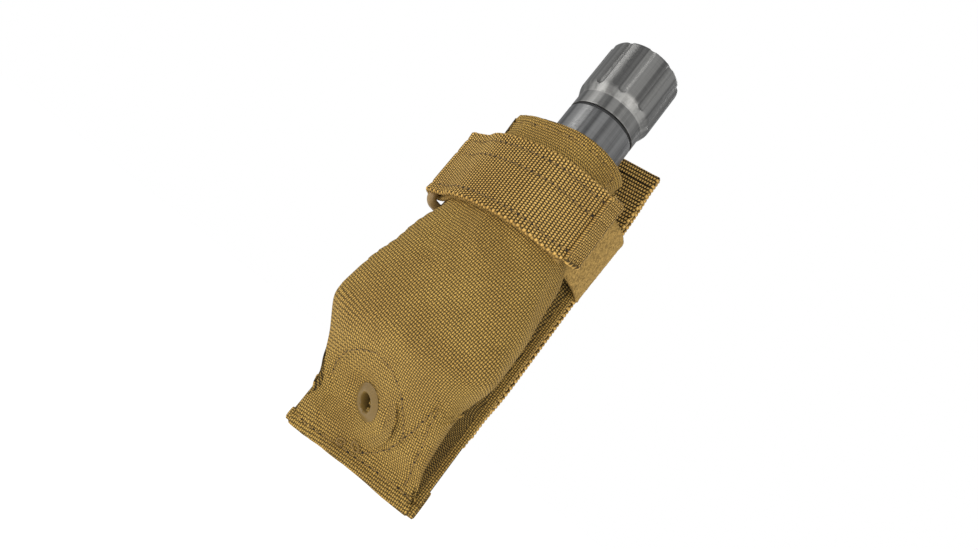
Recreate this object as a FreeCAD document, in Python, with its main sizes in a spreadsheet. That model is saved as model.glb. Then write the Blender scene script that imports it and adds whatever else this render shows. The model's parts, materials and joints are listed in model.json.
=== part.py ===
import FreeCAD, Part
import math
import os

import Sketcher

# Flashlight in its belt pouch, in millimetres. +Z is up along the light, -Y is the front of the
# pouch, +X its right-hand side. The pieces of the pouch are drawn with Y 0 on the front of the back
# webbing and Z 0 on the seam of the hem, those of the light with Z 0 on its front end and the Z axis on
# its own. Placements then carry everything to the origin, at the middle of the belt loop's rear face.

DRIVING_SIZES = {
    # pouch
    "web_width": 50.8, "web_thick": 1.8, "web_start": 24.0, "pouch_height": 140.0,
    "cloth_thick": 1.0, "back_inset": 0.8, "back_cloth_top": 112.0,
    "hem_height": 6.0, "hem_thick": 1.4, "foot": 3.3,
    "loop_gap": 4.8, "loop_start": 28.0, "loop_sewn": 9.0, "loop_slant": 8.0,
    "gusset_start": 6.0, "gusset_top": 110.0, "panel_top": 123.5, "panel_reach": 23.5,
    # strap
    "strap_width": 25.4, "strap_low": 85.6, "base_thick": 1.2, "hook_thick": 0.8, "flap_thick": 1.6,
    "ring_bar": 3.4, "ring_inside": 26.8, "ring_window": 3.5, "ring_corner": 2.6,
    "outer_bar_x": -31.8, "outer_bar_y": -13.2, "inner_bar_x": -27.6, "inner_bar_y": -7.6,
    "keeper_thick": 1.0, "keeper_width": 22.0, "layer_gap": 0.15,
    # grommet, on the slope at the bottom of the front
    "grommet_height": 17.1, "grommet_side": -4.2, "grommet_hole": 6.2, "grommet_flange": 12.4,
    "grommet_thick": 0.8, "patch_radius": 14.0, "patch_thick": 0.8, "lean_reach": 8.0,
    # light
    "light_side": 2.0, "light_depth": 16.0, "light_start": 39.4, "light_length": 124.0,
    "body_radius": 12.7, "head_radius": 14.1, "thread_radius": 11.1, "thread_play": 0.12,
    "cell_radius": 8.5, "cell_length": 34.5, "cell_play": 0.4, "wall_gap": 0.05,
    "bezel_length": 7.0, "bezel_lip": 2.1, "bezel_opening": 10.2, "head_bore": 12.0,
    "head_length": 33.4, "neck_length": 10.0, "lens_thick": 1.8, "gasket_thick": 0.9,
    "reflector_start": 5.2, "reflector_length": 11.6, "reflector_wall": 0.8,
    "board_thick": 1.6, "sink_start": 18.5, "sink_floor": 3.0, "sink_length": 7.3,
    "tube_start": 26.0, "tube_shoulder": 34.0, "tube_seam": 95.8, "tube_end": 105.0,
    "ring_seal": 0.5, "spring_wire": 0.8,
    # tail cap
    "cap_length": 27.0, "cap_collar": 5.2, "cap_flare": 2.6, "cap_wall": 3.4, "cap_opening": 9.0,
    "flute_count": 10.0, "flute_radius": 2.0, "flute_out": 1.15, "rim_chamfer": 0.7,
    "retainer_start": 9.5, "retainer_length": 2.5, "switch_length": 6.6, "switch_bore": 3.2,
    "boot_flange": 1.1, "boot_radius": 8.8, "boot_wall": 1.0, "boot_rise": 2.5, "button_travel": 1.5,
}

doc = FreeCAD.newDocument("belt_flashlight")
sheet = doc.addObject("Spreadsheet::Sheet", "Sizes")
for row, (alias, value) in enumerate(DRIVING_SIZES.items(), start=1):
    sheet.set("A%d" % row, alias)
    sheet.set("B%d" % row, str(value))
    sheet.setAlias("B%d" % row, alias)
doc.recompute()


class Size:
    """A length worked out from the sheet: its value, and the expression that keeps it bound."""

    def __init__(self, value, text):
        self.value = value
        self.text = text

    def __add__(self, other):
        return combine(self, "+", other)

    def __radd__(self, other):
        return combine(other, "+", self)

    def __sub__(self, other):
        return combine(self, "-", other)

    def __rsub__(self, other):
        return combine(other, "-", self)

    def __mul__(self, other):
        return combine(self, "*", other)

    def __rmul__(self, other):
        return combine(other, "*", self)

    def __truediv__(self, other):
        return combine(self, "/", other)


def as_size(number):
    if isinstance(number, Size):
        return number
    return Size(float(number), repr(float(number)))


def combine(first, sign, second):
    a = as_size(first)
    b = as_size(second)
    results = {"+": a.value + b.value, "-": a.value - b.value, "*": a.value * b.value}
    value = a.value / b.value if sign == "/" else results[sign]
    return Size(value, "(%s %s %s)" % (a.text, sign, b.text))


def cell(alias):
    return Size(float(sheet.get(alias)), "Sizes." + alias)


def number(alias):
    return float(sheet.get(alias))


LOOP_REAR = number("web_thick") * 2 + number("loop_gap")
MIDDLE = number("pouch_height") / 2 + number("loop_start") / 2
POUCH_PLACE = FreeCAD.Placement(FreeCAD.Vector(0, -LOOP_REAR, -MIDDLE), FreeCAD.Rotation())
LIGHT_SIDE = number("light_side")
LIGHT_DEPTH = number("light_depth")
NODES = []


def light_place(height=0.0):
    """The placement of a piece of the light whose own zero is that far above the front end."""
    height_in_pouch = number("light_start") + height
    base = FreeCAD.Vector(LIGHT_SIDE, -LIGHT_DEPTH - LOOP_REAR, height_in_pouch - MIDDLE)
    return FreeCAD.Placement(base, FreeCAD.Rotation())


def moved(place, x=0.0, y=0.0, z=0.0, turn=0.0):
    """A placement shifted from another, then turned about the vertical by so many degrees."""
    spin = FreeCAD.Rotation(FreeCAD.Vector(0, 0, 1), turn)
    return place.multiply(FreeCAD.Placement(FreeCAD.Vector(x, y, z), spin))


# ---- PartDesign helpers


def new_body(name, place):
    body = doc.addObject("PartDesign::Body", name)
    body.Label = name
    body.Placement = place
    NODES.append(body)
    return body


def plane_of(body, role):
    return next(item for item in body.Origin.OriginFeatures if item.Role == role)


def new_sketch(body, role, name, offset=None):
    sketch = body.newObject("Sketcher::SketchObject", name)
    sketch.AttachmentSupport = [(plane_of(body, role), "")]
    sketch.MapMode = "FlatFace"
    if offset is not None:
        prop, size = offset
        sketch.setExpression("AttachmentOffset.Base." + prop, size.text)
    return sketch


def bind(sketch, kind, indices, size):
    index = sketch.addConstraint(Sketcher.Constraint(kind, *indices, size.value))
    sketch.setExpression("Constraints[%d]" % index, size.text)


def draw_outline(sketch, corners):
    """A closed outline of straight edges, each corner held by its two distances from the origin."""
    corners = [(as_size(across), as_size(up)) for across, up in corners]
    first = sketch.GeometryCount
    for index, (across, up) in enumerate(corners):
        next_across, next_up = corners[(index + 1) % len(corners)]
        start = FreeCAD.Vector(across.value, up.value, 0)
        end = FreeCAD.Vector(next_across.value, next_up.value, 0)
        sketch.addGeometry(Part.LineSegment(start, end), False)
    for index, (across, up) in enumerate(corners):
        edge = first + index
        following = first + (index + 1) % len(corners)
        sketch.addConstraint(Sketcher.Constraint("Coincident", edge, 2, following, 1))
        bind(sketch, "DistanceX", (-1, 1, edge, 1), across)
        bind(sketch, "DistanceY", (-1, 1, edge, 1), up)


def draw_circle(sketch, across, up, radius):
    across, up, radius = as_size(across), as_size(up), as_size(radius)
    centre = FreeCAD.Vector(across.value, up.value, 0)
    edge = sketch.addGeometry(Part.Circle(centre, FreeCAD.Vector(0, 0, 1), radius.value), False)
    bind(sketch, "DistanceX", (-1, 1, edge, 3), across)
    bind(sketch, "DistanceY", (-1, 1, edge, 3), up)
    bind(sketch, "Radius", (edge,), radius)


def turned(name, outline, place):
    """A piece turned about its Z axis from an outline of (radius, height) corners."""
    body = new_body(name, place)
    sketch = new_sketch(body, "XZ_Plane", name + "_outline")
    draw_outline(sketch, outline)
    turn = body.newObject("PartDesign::Revolution", name + "_turn")
    turn.Profile = sketch
    turn.ReferenceAxis = (sketch, ["V_Axis"])
    turn.Angle = 360
    sketch.Visibility = False
    return body


def turned_ring(name, ring_radius, section_radius, height, place):
    """A round seal: a circle turned about the Z axis."""
    body = new_body(name, place)
    sketch = new_sketch(body, "XZ_Plane", name + "_outline")
    draw_circle(sketch, ring_radius, height, section_radius)
    turn = body.newObject("PartDesign::Revolution", name + "_turn")
    turn.Profile = sketch
    turn.ReferenceAxis = (sketch, ["V_Axis"])
    turn.Angle = 360
    return body


def ring_outline(inner, outer, low, high):
    return [(inner, low), (outer, low), (outer, high), (inner, high)]


def padded(name, role, outline, depth, place, backwards=False):
    """A flat piece: an outline on one of the body's planes, padded by its thickness."""
    body = new_body(name, place)
    sketch = new_sketch(body, role, name + "_outline")
    draw_outline(sketch, outline)
    pad = body.newObject("PartDesign::Pad", name + "_pad")
    pad.Profile = sketch
    pad.Reversed = backwards
    pad.setExpression("Length", as_size(depth).text)
    return body


def cut_away(body, kind, sketch, name):
    """Adds a Pocket or a Groove and checks that it took material off."""
    doc.recompute()
    before = body.Shape.Volume
    cut = body.newObject(kind, name)
    cut.Profile = sketch
    return cut, before


def check_cut(body, before):
    doc.recompute()
    if body.Shape.Volume > before - 0.1:
        raise RuntimeError("%s: the cut took nothing off" % body.Label)


def repeat_round(body, feature, count, angle, name):
    pattern = body.newObject("PartDesign::PolarPattern", name)
    pattern.Originals = [feature]
    pattern.Axis = (plane_of(body, "Z_Axis"), [""])
    pattern.Angle = angle
    pattern.setExpression("Occurrences", as_size(count).text)
    body.Tip = pattern
    doc.recompute()
    return pattern


def coil(name, mean_radius, wire_radius, height, turns, place):
    """A helical spring of round wire standing on its own XY plane."""
    body = new_body(name, place)
    sketch = new_sketch(body, "XZ_Plane", name + "_wire")
    draw_circle(sketch, mean_radius, wire_radius, wire_radius)
    helix = body.newObject("PartDesign::AdditiveHelix", name + "_coil")
    helix.Profile = sketch
    helix.ReferenceAxis = (sketch, ["V_Axis"])
    helix.Mode = "height-turns-angle"
    helix.Turns = turns
    helix.setExpression("Height", (as_size(height) - 2 * as_size(wire_radius)).text)
    return body


# ---- soft pieces, as Part shapes: the sheets of cloth and webbing


def soft_piece(name, shape, place=POUCH_PLACE):
    piece = doc.addObject("Part::Feature", name)
    piece.Label = name
    piece.Shape = shape
    piece.Placement = place
    NODES.append(piece)
    return piece


def vec(point, height=0.0):
    return FreeCAD.Vector(point[0], point[1], height)


def shifted(points, distance):
    """The line beside a line of points, that far to the right-hand side of its direction."""
    line = []
    for index, (x, y) in enumerate(points):
        before = points[max(index - 1, 0)]
        after = points[min(index + 1, len(points) - 1)]
        along = (after[0] - before[0], after[1] - before[1])
        length = math.hypot(*along)
        line.append((x + along[1] / length * distance, y - along[0] / length * distance))
    return line


def ribbon(points, thickness, low, width):
    """A standing ribbon of even thickness along a smooth line seen from above."""
    sides = [shifted(points, thickness / 2), shifted(points, -thickness / 2)[::-1]]
    edges = []
    for side in sides:
        curve = Part.BSplineCurve()
        curve.interpolate([vec(point, low) for point in side])
        edges.append(curve.toShape())
    edges.insert(1, Part.makeLine(vec(sides[0][-1], low), vec(sides[1][0], low)))
    edges.append(Part.makeLine(vec(sides[1][-1], low), vec(sides[0][0], low)))
    return Part.Face(Part.Wire(edges)).extrude(FreeCAD.Vector(0, 0, width))


def lofted_sheet(sections):
    """A closed solid through flat sections of as many corners each, (points, height) from below."""
    wires = []
    for points, height in sections:
        corners = [vec(point, height) for point in points]
        wires.append(Part.makePolygon(corners + corners[:1]))
    return Part.makeLoft(wires, True, True)


# Levels of the front: height, reach to each side of the light's axis, depth of the front, depth
# where the gussets begin, how square the curve between them is (2 is an ellipse), and how far the
# front leans to the left about the grommet (its slope there).
FRONT_LEVELS = [
    (-number("foot"), 26.6, 22.6, 2.4, 1.4, 4.0, 4.0, 0.0),
    (5.5, 27.4, 22.8, 3.4, 1.9, 4.0, 4.0, 0.0),
    (12.0, 27.6, 22.8, 7.8, 4.6, 4.0, 4.0, 0.46),
    (22.5, 27.9, 22.9, 14.8, 9.6, 4.0, 4.3, 0.46),
    (30.0, 28.2, 23.0, 23.0, 13.0, 4.0, 4.5, 0.15),
    (37.0, 31.6, 23.8, 31.8, 16.0, 4.2, 4.0, 0.0),
    (48.0, 31.2, 24.4, 32.6, 16.0, 4.2, 3.6, 0.0),
    (62.0, 28.8, 23.6, 32.4, 16.0, 3.4, 3.0, 0.0),
    (78.0, 26.4, 21.0, 32.0, 16.0, 2.2, 2.6, 0.0),
    (84.0, 25.5, 17.4, 31.6, 16.0, 1.5, 2.0, 0.0),
    (number("panel_top"), 25.5, 17.4, 31.6, 16.0, 1.5, 2.0, 0.0),
]
SLOPE_LOW, SLOPE_HIGH = 12.0, 22.5
CURVE_STEPS = 14


def level_at(height):
    """The numbers of one level, straight between the two listed levels around it."""
    for low, high in zip(FRONT_LEVELS, FRONT_LEVELS[1:]):
        if height <= high[0]:
            part = (height - low[0]) / (high[0] - low[0])
            return [a + (b - a) * part for a, b in zip(low, high)]
    return list(FRONT_LEVELS[-1])


def front_curve(height, from_angle=-90.0, to_angle=90.0, steps=CURVE_STEPS):
    """The outer line of the front at a height, from its left corner to its right one."""
    level, left, right, depth, corner, square_left, square_right, lean = level_at(height)
    reach_of_lean = number("lean_reach")
    points = []
    for step in range(steps + 1):
        angle = math.radians(from_angle + (to_angle - from_angle) * step / steps)
        square = square_left if angle < 0 else square_right
        reach = left if angle < 0 else right
        across = abs(math.sin(angle)) ** (2.0 / square) * reach
        part = max(math.cos(angle), 0.0) ** (2.0 / square)
        x = LIGHT_SIDE + math.copysign(across, angle)
        leaning = lean * reach_of_lean * math.tanh((x - number("grommet_side")) / reach_of_lean)
        points.append((x, -corner - part * (depth - corner + leaning)))
    return points


def make_front_panel():
    """The front of the pouch: up the slope at the bottom, over the head and on as the tongue."""
    thick = number("cloth_thick")
    sections = []
    for height, *_ in FRONT_LEVELS:
        outer = front_curve(height)
        inner = shifted(outer, -thick)
        inner[0] = (outer[0][0] + thick, outer[0][1])
        inner[-1] = (outer[-1][0] - thick, outer[-1][1])
        sections.append((outer + inner[::-1], height))
    panel = lofted_sheet(sections)
    hole = Part.makeCylinder(number("grommet_hole") / 2 + 0.9, 24.0)
    hole.Placement = grommet_place(-12.0)
    return soft_piece("front_panel", panel.cut(hole))


def depth_at(x, height):
    """The depth of the front at a place on its slope, where it is straight from level to level."""
    depths = []
    for level in (SLOPE_LOW, SLOPE_HIGH):
        line = front_curve(level)
        for (left, front_left), (right, front_right) in zip(line, line[1:]):
            if left <= x <= right:
                depths.append(-front_left - (front_right - front_left) * (x - left) / (right - left))
    return depths[0] + (depths[1] - depths[0]) * (height - SLOPE_LOW) / (SLOPE_HIGH - SLOPE_LOW)


def grommet_place(lift):
    """On the slope where the grommet sits, Z outwards, lifted off the cloth's outer face."""
    x, height = number("grommet_side"), number("grommet_height")
    depth = depth_at(x, height)
    across = depth_at(x + 1, height) - depth
    upward = depth_at(x, height + 1) - depth
    out = FreeCAD.Vector(-across, -1.0, -upward).normalize()
    spin = FreeCAD.Rotation(FreeCAD.Vector(0, 0, 1), out)
    return FreeCAD.Placement(FreeCAD.Vector(x, -depth, height) + out * lift, spin)


def make_gusset(name, side):
    """A side wall of the pouch, from the back cloth forward to the corner of the front."""
    thick = number("cloth_thick")
    back_x = side * (number("web_width") / 2 - number("back_inset"))
    sections = []
    heights = [number("gusset_start")] + [level[0] for level in FRONT_LEVELS[2:-1]]
    for height in heights + [number("gusset_top")]:
        corner = front_curve(height)[0 if side < 0 else -1]
        back = (back_x, -number("cloth_thick"))
        quad = [back, corner, (corner[0] - side * thick, corner[1]), (back[0] - side * thick, back[1])]
        sections.append((quad, height))
    return soft_piece(name, lofted_sheet(sections))


def make_back():
    """The back webbing, the belt loop sewn behind it, the back cloth and the hem at the bottom."""
    width = cell("web_width")
    thick = cell("web_thick")
    high = cell("pouch_height")
    half = number("web_width") / 2
    left = moved(POUCH_PLACE, x=-half)
    start = cell("web_start")
    web_top = high - thick - 0.1
    outline = [(0, start), (width, start), (width, web_top), (0, web_top)]
    padded("back_webbing", "XZ_Plane", outline, thick, left, backwards=True)

    near = thick
    far = thick + cell("loop_gap")
    low = cell("loop_start")
    sewn = cell("loop_sewn")
    slant = cell("loop_slant")
    loop = [
        (near, low), (near + thick, low), (near + thick, low + sewn), (far + thick, low + sewn + slant),
        (far + thick, high - sewn - slant), (near + thick, high - sewn), (near + thick, high),
        (0, high), (0, high - thick), (near, high - thick), (near, high - sewn - 1),
        (far, high - sewn - slant - 1), (far, low + sewn + slant + 1), (near, low + sewn + 1),
    ]
    padded("belt_loop", "YZ_Plane", loop, width, left)

    inset = cell("back_inset")
    cloth = cell("cloth_thick")
    foot = cell("foot")
    left = moved(POUCH_PLACE, x=-half, z=-number("foot"))
    cloth_top = cell("back_cloth_top") + foot
    outline = [(inset, 0), (width - inset, 0), (width - inset, cloth_top), (inset, cloth_top)]
    padded("back_cloth", "XZ_Plane", outline, cloth, left)
    hem_top = cell("hem_height") + foot
    outline = [(inset, 0), (width - inset, 0), (width - inset, hem_top), (inset, hem_top)]
    padded("bottom_hem", "XZ_Plane", outline, cell("hem_thick"), left, backwards=True)


def make_grommet():
    """The drain grommet: a flanged eyelet, its washer and the round patch behind the cloth."""
    hole = cell("grommet_hole") / 2
    flange = cell("grommet_flange") / 2
    thick = cell("grommet_thick")
    barrel = hole + 0.7
    washer_thick = 0.8
    patch_depth = number("cloth_thick") + number("patch_thick") + 0.4
    washer_depth = patch_depth + washer_thick + 0.3
    barrel_depth = washer_depth + 0.1
    outside = POUCH_PLACE.multiply(grommet_place(0.05))

    rim = barrel_depth + thick
    eyelet = [
        (hole, 0), (barrel, 0), (barrel, barrel_depth), (flange, barrel_depth),
        (flange, rim - 0.5), (flange - 1, rim), (hole + 0.5, rim), (hole, rim - 0.4),
    ]
    turned("grommet", eyelet, sunk(outside, barrel_depth))
    washer = ring_outline(barrel + 0.05, flange - 0.4, 0, washer_thick)
    turned("grommet_washer", washer, sunk(outside, washer_depth))
    soft_piece("grommet_patch", make_patch(barrel.value + 0.1))


def make_patch(hole):
    """The round patch inside the front: it follows the slope, and the grommet goes through it."""
    far = number("cloth_thick") + 0.25
    sections = []
    for height in (5.5, SLOPE_LOW, SLOPE_HIGH, 30.0):
        outer = shifted(front_curve(height, -70, 70), -far)
        inner = shifted(outer, -number("patch_thick"))
        sections.append((outer + inner[::-1], height))
    round_cut = Part.makeCylinder(number("patch_radius"), 40.0)
    round_cut.Placement = grommet_place(-20.0)
    hole_cut = Part.makeCylinder(hole, 40.0)
    hole_cut.Placement = grommet_place(-20.0)
    return lofted_sheet(sections).common(round_cut).cut(hole_cut)


def sunk(place, depth):
    return place.multiply(FreeCAD.Placement(FreeCAD.Vector(0, 0, -depth), FreeCAD.Rotation()))


def make_ring():
    """The plastic ring at the left: a round bar bent to a tall rectangle."""
    outer_x, outer_y = number("outer_bar_x"), number("outer_bar_y")
    inner_x, inner_y = number("inner_bar_x"), number("inner_bar_y")
    across = math.hypot(outer_x - inner_x, outer_y - inner_y)
    turn = math.degrees(math.atan2(outer_y - inner_y, outer_x - inner_x))
    middle = ((outer_x + inner_x) / 2, (outer_y + inner_y) / 2)
    ring_middle = number("strap_low") + number("strap_width") / 2 - 0.5
    place = moved(POUCH_PLACE, middle[0], middle[1], ring_middle, turn)
    body = new_body("strap_ring", place)
    path = new_sketch(body, "XZ_Plane", "ring_path")
    half_x = across / 2
    half_z = (number("ring_inside") + number("ring_bar")) / 2
    corner = number("ring_corner")
    draw_rounded_box(path, half_x, half_z, corner)
    section = new_sketch(body, "XY_Plane", "ring_section")
    draw_circle(section, half_x, 0, cell("ring_bar") / 2)
    pipe = body.newObject("PartDesign::AdditivePipe", "ring_pipe")
    pipe.Profile = section
    pipe.Spine = (path, [])
    pipe.Mode = "Frenet"


def draw_rounded_box(sketch, half_x, half_y, corner):
    """A box about the origin with round corners, which starts in the middle of its right side."""
    straight_x = half_x - corner
    straight_y = half_y - corner
    quarter = math.sqrt(0.5) * corner
    corners = [(1, 1), (-1, 1), (-1, -1), (1, -1)]
    line = [FreeCAD.Vector(half_x, 0, 0)]
    for index, (side_x, side_y) in enumerate(corners):
        upright = FreeCAD.Vector(side_x * half_x, side_y * straight_y, 0)
        level = FreeCAD.Vector(side_x * straight_x, side_y * half_y, 0)
        middle = FreeCAD.Vector(side_x * (straight_x + quarter), side_y * (straight_y + quarter), 0)
        start, end = (upright, level) if index % 2 == 0 else (level, upright)
        sketch.addGeometry(Part.LineSegment(line[-1], start), False)
        sketch.addGeometry(Part.Arc(start, middle, end), False)
        line.append(end)
    sketch.addGeometry(Part.LineSegment(line[-1], line[0]), False)


def arc_points(centre, radius, from_angle, to_angle, steps):
    points = []
    for step in range(steps + 1):
        angle = math.radians(from_angle + (to_angle - from_angle) * step / steps)
        points.append((centre[0] + radius * math.cos(angle), centre[1] + radius * math.sin(angle)))
    return points


STRAP_MIDDLE = number("strap_low") + number("strap_width") / 2
BASE_LIFT = number("layer_gap") + number("base_thick") / 2
HOOK_LIFT = BASE_LIFT + (number("base_thick") + number("hook_thick")) / 2 + number("layer_gap")
FLAP_LIFT = HOOK_LIFT + (number("hook_thick") + number("flap_thick")) / 2 + 0.05


def over_front(lift, from_angle, to_angle, steps):
    """The line of a strap layer where it lies over the front, at that distance off the cloth."""
    return shifted(front_curve(STRAP_MIDDLE, from_angle, to_angle, steps), lift)


def make_strap():
    """The strap: a base layer from behind the pouch to the ring, and the flap that folds back."""
    low = number("strap_low")
    width = number("strap_width")
    bar = (number("outer_bar_x"), number("outer_bar_y"))
    fold = number("ring_bar") / 2 + 0.3 + number("base_thick") / 2
    behind = number("web_thick") + 0.3 + number("base_thick") / 2
    base = arc_points(bar, fold, -100, -310, 7)
    base += [(-27.6, -13.6), (-25.3, -17.0)]
    base += over_front(BASE_LIFT, -64, 48, 9)
    base += [(21.0, -19.6), (26.8, -12.0), (29.6, -5.0), (29.4, 0.2), (26.6, behind)]
    base += [(22.0, behind + 0.2), (17.0, behind)]
    soft_piece("strap_base", ribbon(base, number("base_thick"), low, width))

    hook = over_front(HOOK_LIFT, -56, 46, 8) + [(20.4, -23.2)]
    hook_low = low + 1.2
    soft_piece("hook_tape", ribbon(hook, number("hook_thick"), hook_low, width - 2.4))

    flap = [(-31.2, -17.9), (-27.6, -20.0)] + over_front(FLAP_LIFT, -58, 46, 9)
    flap += [(21.8, -24.4), (26.0, -20.2)]
    soft_piece("strap_flap", ribbon(flap, number("flap_thick"), low, width))


def make_keeper():
    """The tab that ties the ring's inner bar to the left side of the pouch."""
    bar = (number("inner_bar_x"), number("inner_bar_y"))
    thick = number("keeper_thick")
    radius = number("ring_bar") / 2 + 0.25 + thick / 2
    low = STRAP_MIDDLE - number("keeper_width") / 2
    tab = [(-26.3, -1.2), (-25.4, -3.2)] + arc_points(bar, radius, 40, -200, 8)
    soft_piece("ring_keeper", ribbon(tab, thick, low, number("keeper_width")))


# ---- the light


def make_bezel():
    head = cell("head_radius")
    bore = cell("head_bore") - cell("thread_play")
    lip = cell("bezel_lip")
    length = cell("bezel_length") - cell("wall_gap")
    outline = [
        (cell("bezel_opening"), lip), (cell("bezel_opening") + 0.6, 0), (head - 0.8, 0),
        (head, 0.8), (head, length), (bore + 0.1, length), (bore + 0.1, lip),
    ]
    body = turned("bezel_ring", outline, light_place())
    sketch = new_sketch(body, "XZ_Plane", "scallop_outline")
    draw_circle(sketch, 0, 0, 1.6)
    scallop, before = cut_away(body, "PartDesign::Pocket", sketch, "scallop")
    scallop.Type = 1
    scallop.Midplane = True
    check_cut(body, before)
    repeat_round(body, scallop, 3, 120, "scallops")
    check_cut(body, before - 1)


def make_head_shell():
    head = cell("head_radius")
    neck = cell("body_radius")
    low = cell("bezel_length")
    high = cell("head_length")
    neck_start = high - cell("neck_length")
    thread = cell("thread_radius") + cell("thread_play")
    bore_end = cell("tube_start") - 0.1
    outline = [
        (cell("head_bore"), low), (head, low), (head, neck_start - 2.4), (neck, neck_start),
        (neck, high), (thread, high), (thread, bore_end), (cell("head_bore"), bore_end),
    ]
    body = turned("head_shell", outline, light_place())
    sketch = new_sketch(body, "XZ_Plane", "fin_outline")
    draw_outline(sketch, ring_outline(head - 0.8, head + 1, low + 4, low + 5.2))
    fin, before = cut_away(body, "PartDesign::Groove", sketch, "cooling_groove")
    fin.ReferenceAxis = (sketch, ["V_Axis"])
    fin.Angle = 360
    check_cut(body, before)
    rows = body.newObject("PartDesign::LinearPattern", "cooling_grooves")
    rows.Originals = [fin]
    rows.Direction = (plane_of(body, "Z_Axis"), [""])
    rows.Length = 5.2
    rows.Occurrences = 3
    body.Tip = rows
    check_cut(body, before - 1)


def make_optics():
    place = light_place()
    bore = cell("head_bore") - 0.2
    lip = cell("bezel_lip")
    gasket = cell("gasket_thick")
    gap = cell("wall_gap")
    lens_low = lip + gasket + gap
    lens_high = lens_low + cell("lens_thick")
    turned("lens_gasket", ring_outline(bore - 1.4, bore - 0.1, lip + gap / 2, lip + gasket), place)
    turned("lens", [(0, lens_low), (bore - 0.1, lens_low), (bore - 0.1, lens_high), (0, lens_high)], place)
    low = number("reflector_start")
    length = number("reflector_length")
    mouth = number("head_bore") - 0.4
    throat = 3.2
    wall = number("reflector_wall")
    steps = 6
    focus = (mouth ** 2 - throat ** 2) / length
    inner = []
    for step in range(steps + 1):
        height = length * step / steps
        inner.append((math.sqrt(mouth ** 2 - wall - focus * height * 0.98), low + height))
    outer = [(radius + wall, height) for radius, height in inner[::-1]]
    outer[-1] = (mouth, low)
    flange = [(mouth, low + 1.0), (outer[-2][0], low + 1.0)]
    outline = inner + outer[:-1] + flange[::-1] + [(mouth, low)]
    turned("reflector", outline, place)

    board_low = low + length + 0.1
    turned("led_board", [(0, board_low), (8, board_low), (8, board_low + 1.5), (0, board_low + 1.5)], place)
    half = 1.7
    chip = [(0, 0), (2 * half, 0), (2 * half, 2 * half), (0, 2 * half)]
    chip_place = moved(light_place(board_low - 1.15), x=-half, y=-half)
    padded("led_emitter", "XY_Plane", chip, 1.1, chip_place)


def make_driver():
    place = light_place()
    low = cell("sink_start")
    high = low + cell("sink_length")
    floor = low + cell("sink_floor")
    outer = cell("head_bore") - 0.1
    inner = outer - 2.4
    outline = [(0, low), (outer, low), (outer, high), (inner, high), (inner, floor), (0, floor)]
    turned("heat_sink", outline, place)
    board_low = floor + 1.0
    board_high = board_low + cell("board_thick")
    board = inner - 0.2
    turned("driver_board", [(0, board_low), (board, board_low), (board, board_high), (0, board_high)], place)
    spring_low = board_high + 0.05
    wire = cell("spring_wire") / 2
    cell_low = number("tube_start") + 1.6
    coil("driver_spring", 3.2, wire, cell_low - 0.05 - spring_low.value, 2.2, light_place(spring_low.value))


def make_tube():
    thread = cell("thread_radius")
    outer = cell("body_radius")
    bore = cell("cell_radius") + cell("cell_play")
    low = cell("tube_start")
    shoulder = cell("tube_shoulder")
    seam = cell("tube_seam")
    high = cell("tube_end")
    groove = thread - 1.1
    groove_mid = shoulder - 2.6
    outline = [
        (bore, low), (thread, low), (thread, groove_mid - 0.6), (groove, groove_mid - 0.6),
        (groove, groove_mid + 0.6), (thread, groove_mid + 0.6), (thread, shoulder), (outer - 0.3, shoulder),
        (outer, shoulder + 0.3), (outer, seam - 0.3), (outer - 0.3, seam), (thread, seam),
        (thread, high), (bore, high),
    ]
    turned("body_tube", outline, light_place())
    seal = cell("ring_seal")
    turned_ring("head_seal", groove + seal + 0.05, seal, groove_mid, light_place())
    turned_ring("tail_seal", outer - seal - 0.3, seal, seam + seal + 0.1, light_place())


def make_cells():
    radius = cell("cell_radius")
    length = cell("cell_length")
    low = number("tube_start") + 1.6
    for index, name in enumerate(("front_cell", "rear_cell")):
        button = 3.0
        outline = [
            (0, 0.0), (button, 0.0), (button, 0.8), (radius - 0.5, 0.8), (radius, 1.3),
            (radius, length - 0.5), (radius - 0.5, length), (0, length),
        ]
        turned(name, outline, light_place(low + index * (number("cell_length") + 0.05)))


def cap_place(height=0.0):
    return light_place(number("light_length") - number("cap_length") + height)


def make_tail_cap():
    """The fluted tail cap: a collar, a flare and ten flutes that run out at the open end."""
    neck = cell("body_radius")
    outer = cell("head_radius")
    bore = cell("thread_radius") + cell("thread_play")
    length = cell("cap_length")
    collar = cell("cap_collar")
    flare = cell("cap_flare")
    wall_low = length - cell("cap_wall")
    hole = cell("cap_opening")
    chamfer = cell("rim_chamfer")
    outline = [
        (bore, 0), (neck - 0.3, 0), (neck, 0.3), (neck, collar), (neck + 0.3, collar + flare * 0.35),
        (neck + 0.9, collar + flare * 0.75), (outer, collar + flare), (outer, length - chamfer),
        (outer - chamfer, length), (hole + 1.6, length), (hole, length - 1.6), (hole, wall_low),
        (bore, wall_low),
    ]
    body = turned("tail_cap", outline, cap_place())
    sketch = new_sketch(body, "XZ_Plane", "flute_outline", ("x", outer + cell("flute_out")))
    cut = cell("flute_radius")
    low = collar + flare * 0.6
    draw_outline(sketch, [
        (0, low), (cut * 0.5, low + cut * 0.13), (cut * 0.87, low + cut * 0.5), (cut, low + cut),
        (cut, length + 1), (0, length + 1),
    ])
    flute, before = cut_away(body, "PartDesign::Groove", sketch, "flute")
    flute.ReferenceAxis = (sketch, ["V_Axis"])
    flute.Angle = 360
    check_cut(body, before)
    repeat_round(body, flute, cell("flute_count"), 360, "flutes")
    check_cut(body, before - 1)


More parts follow.
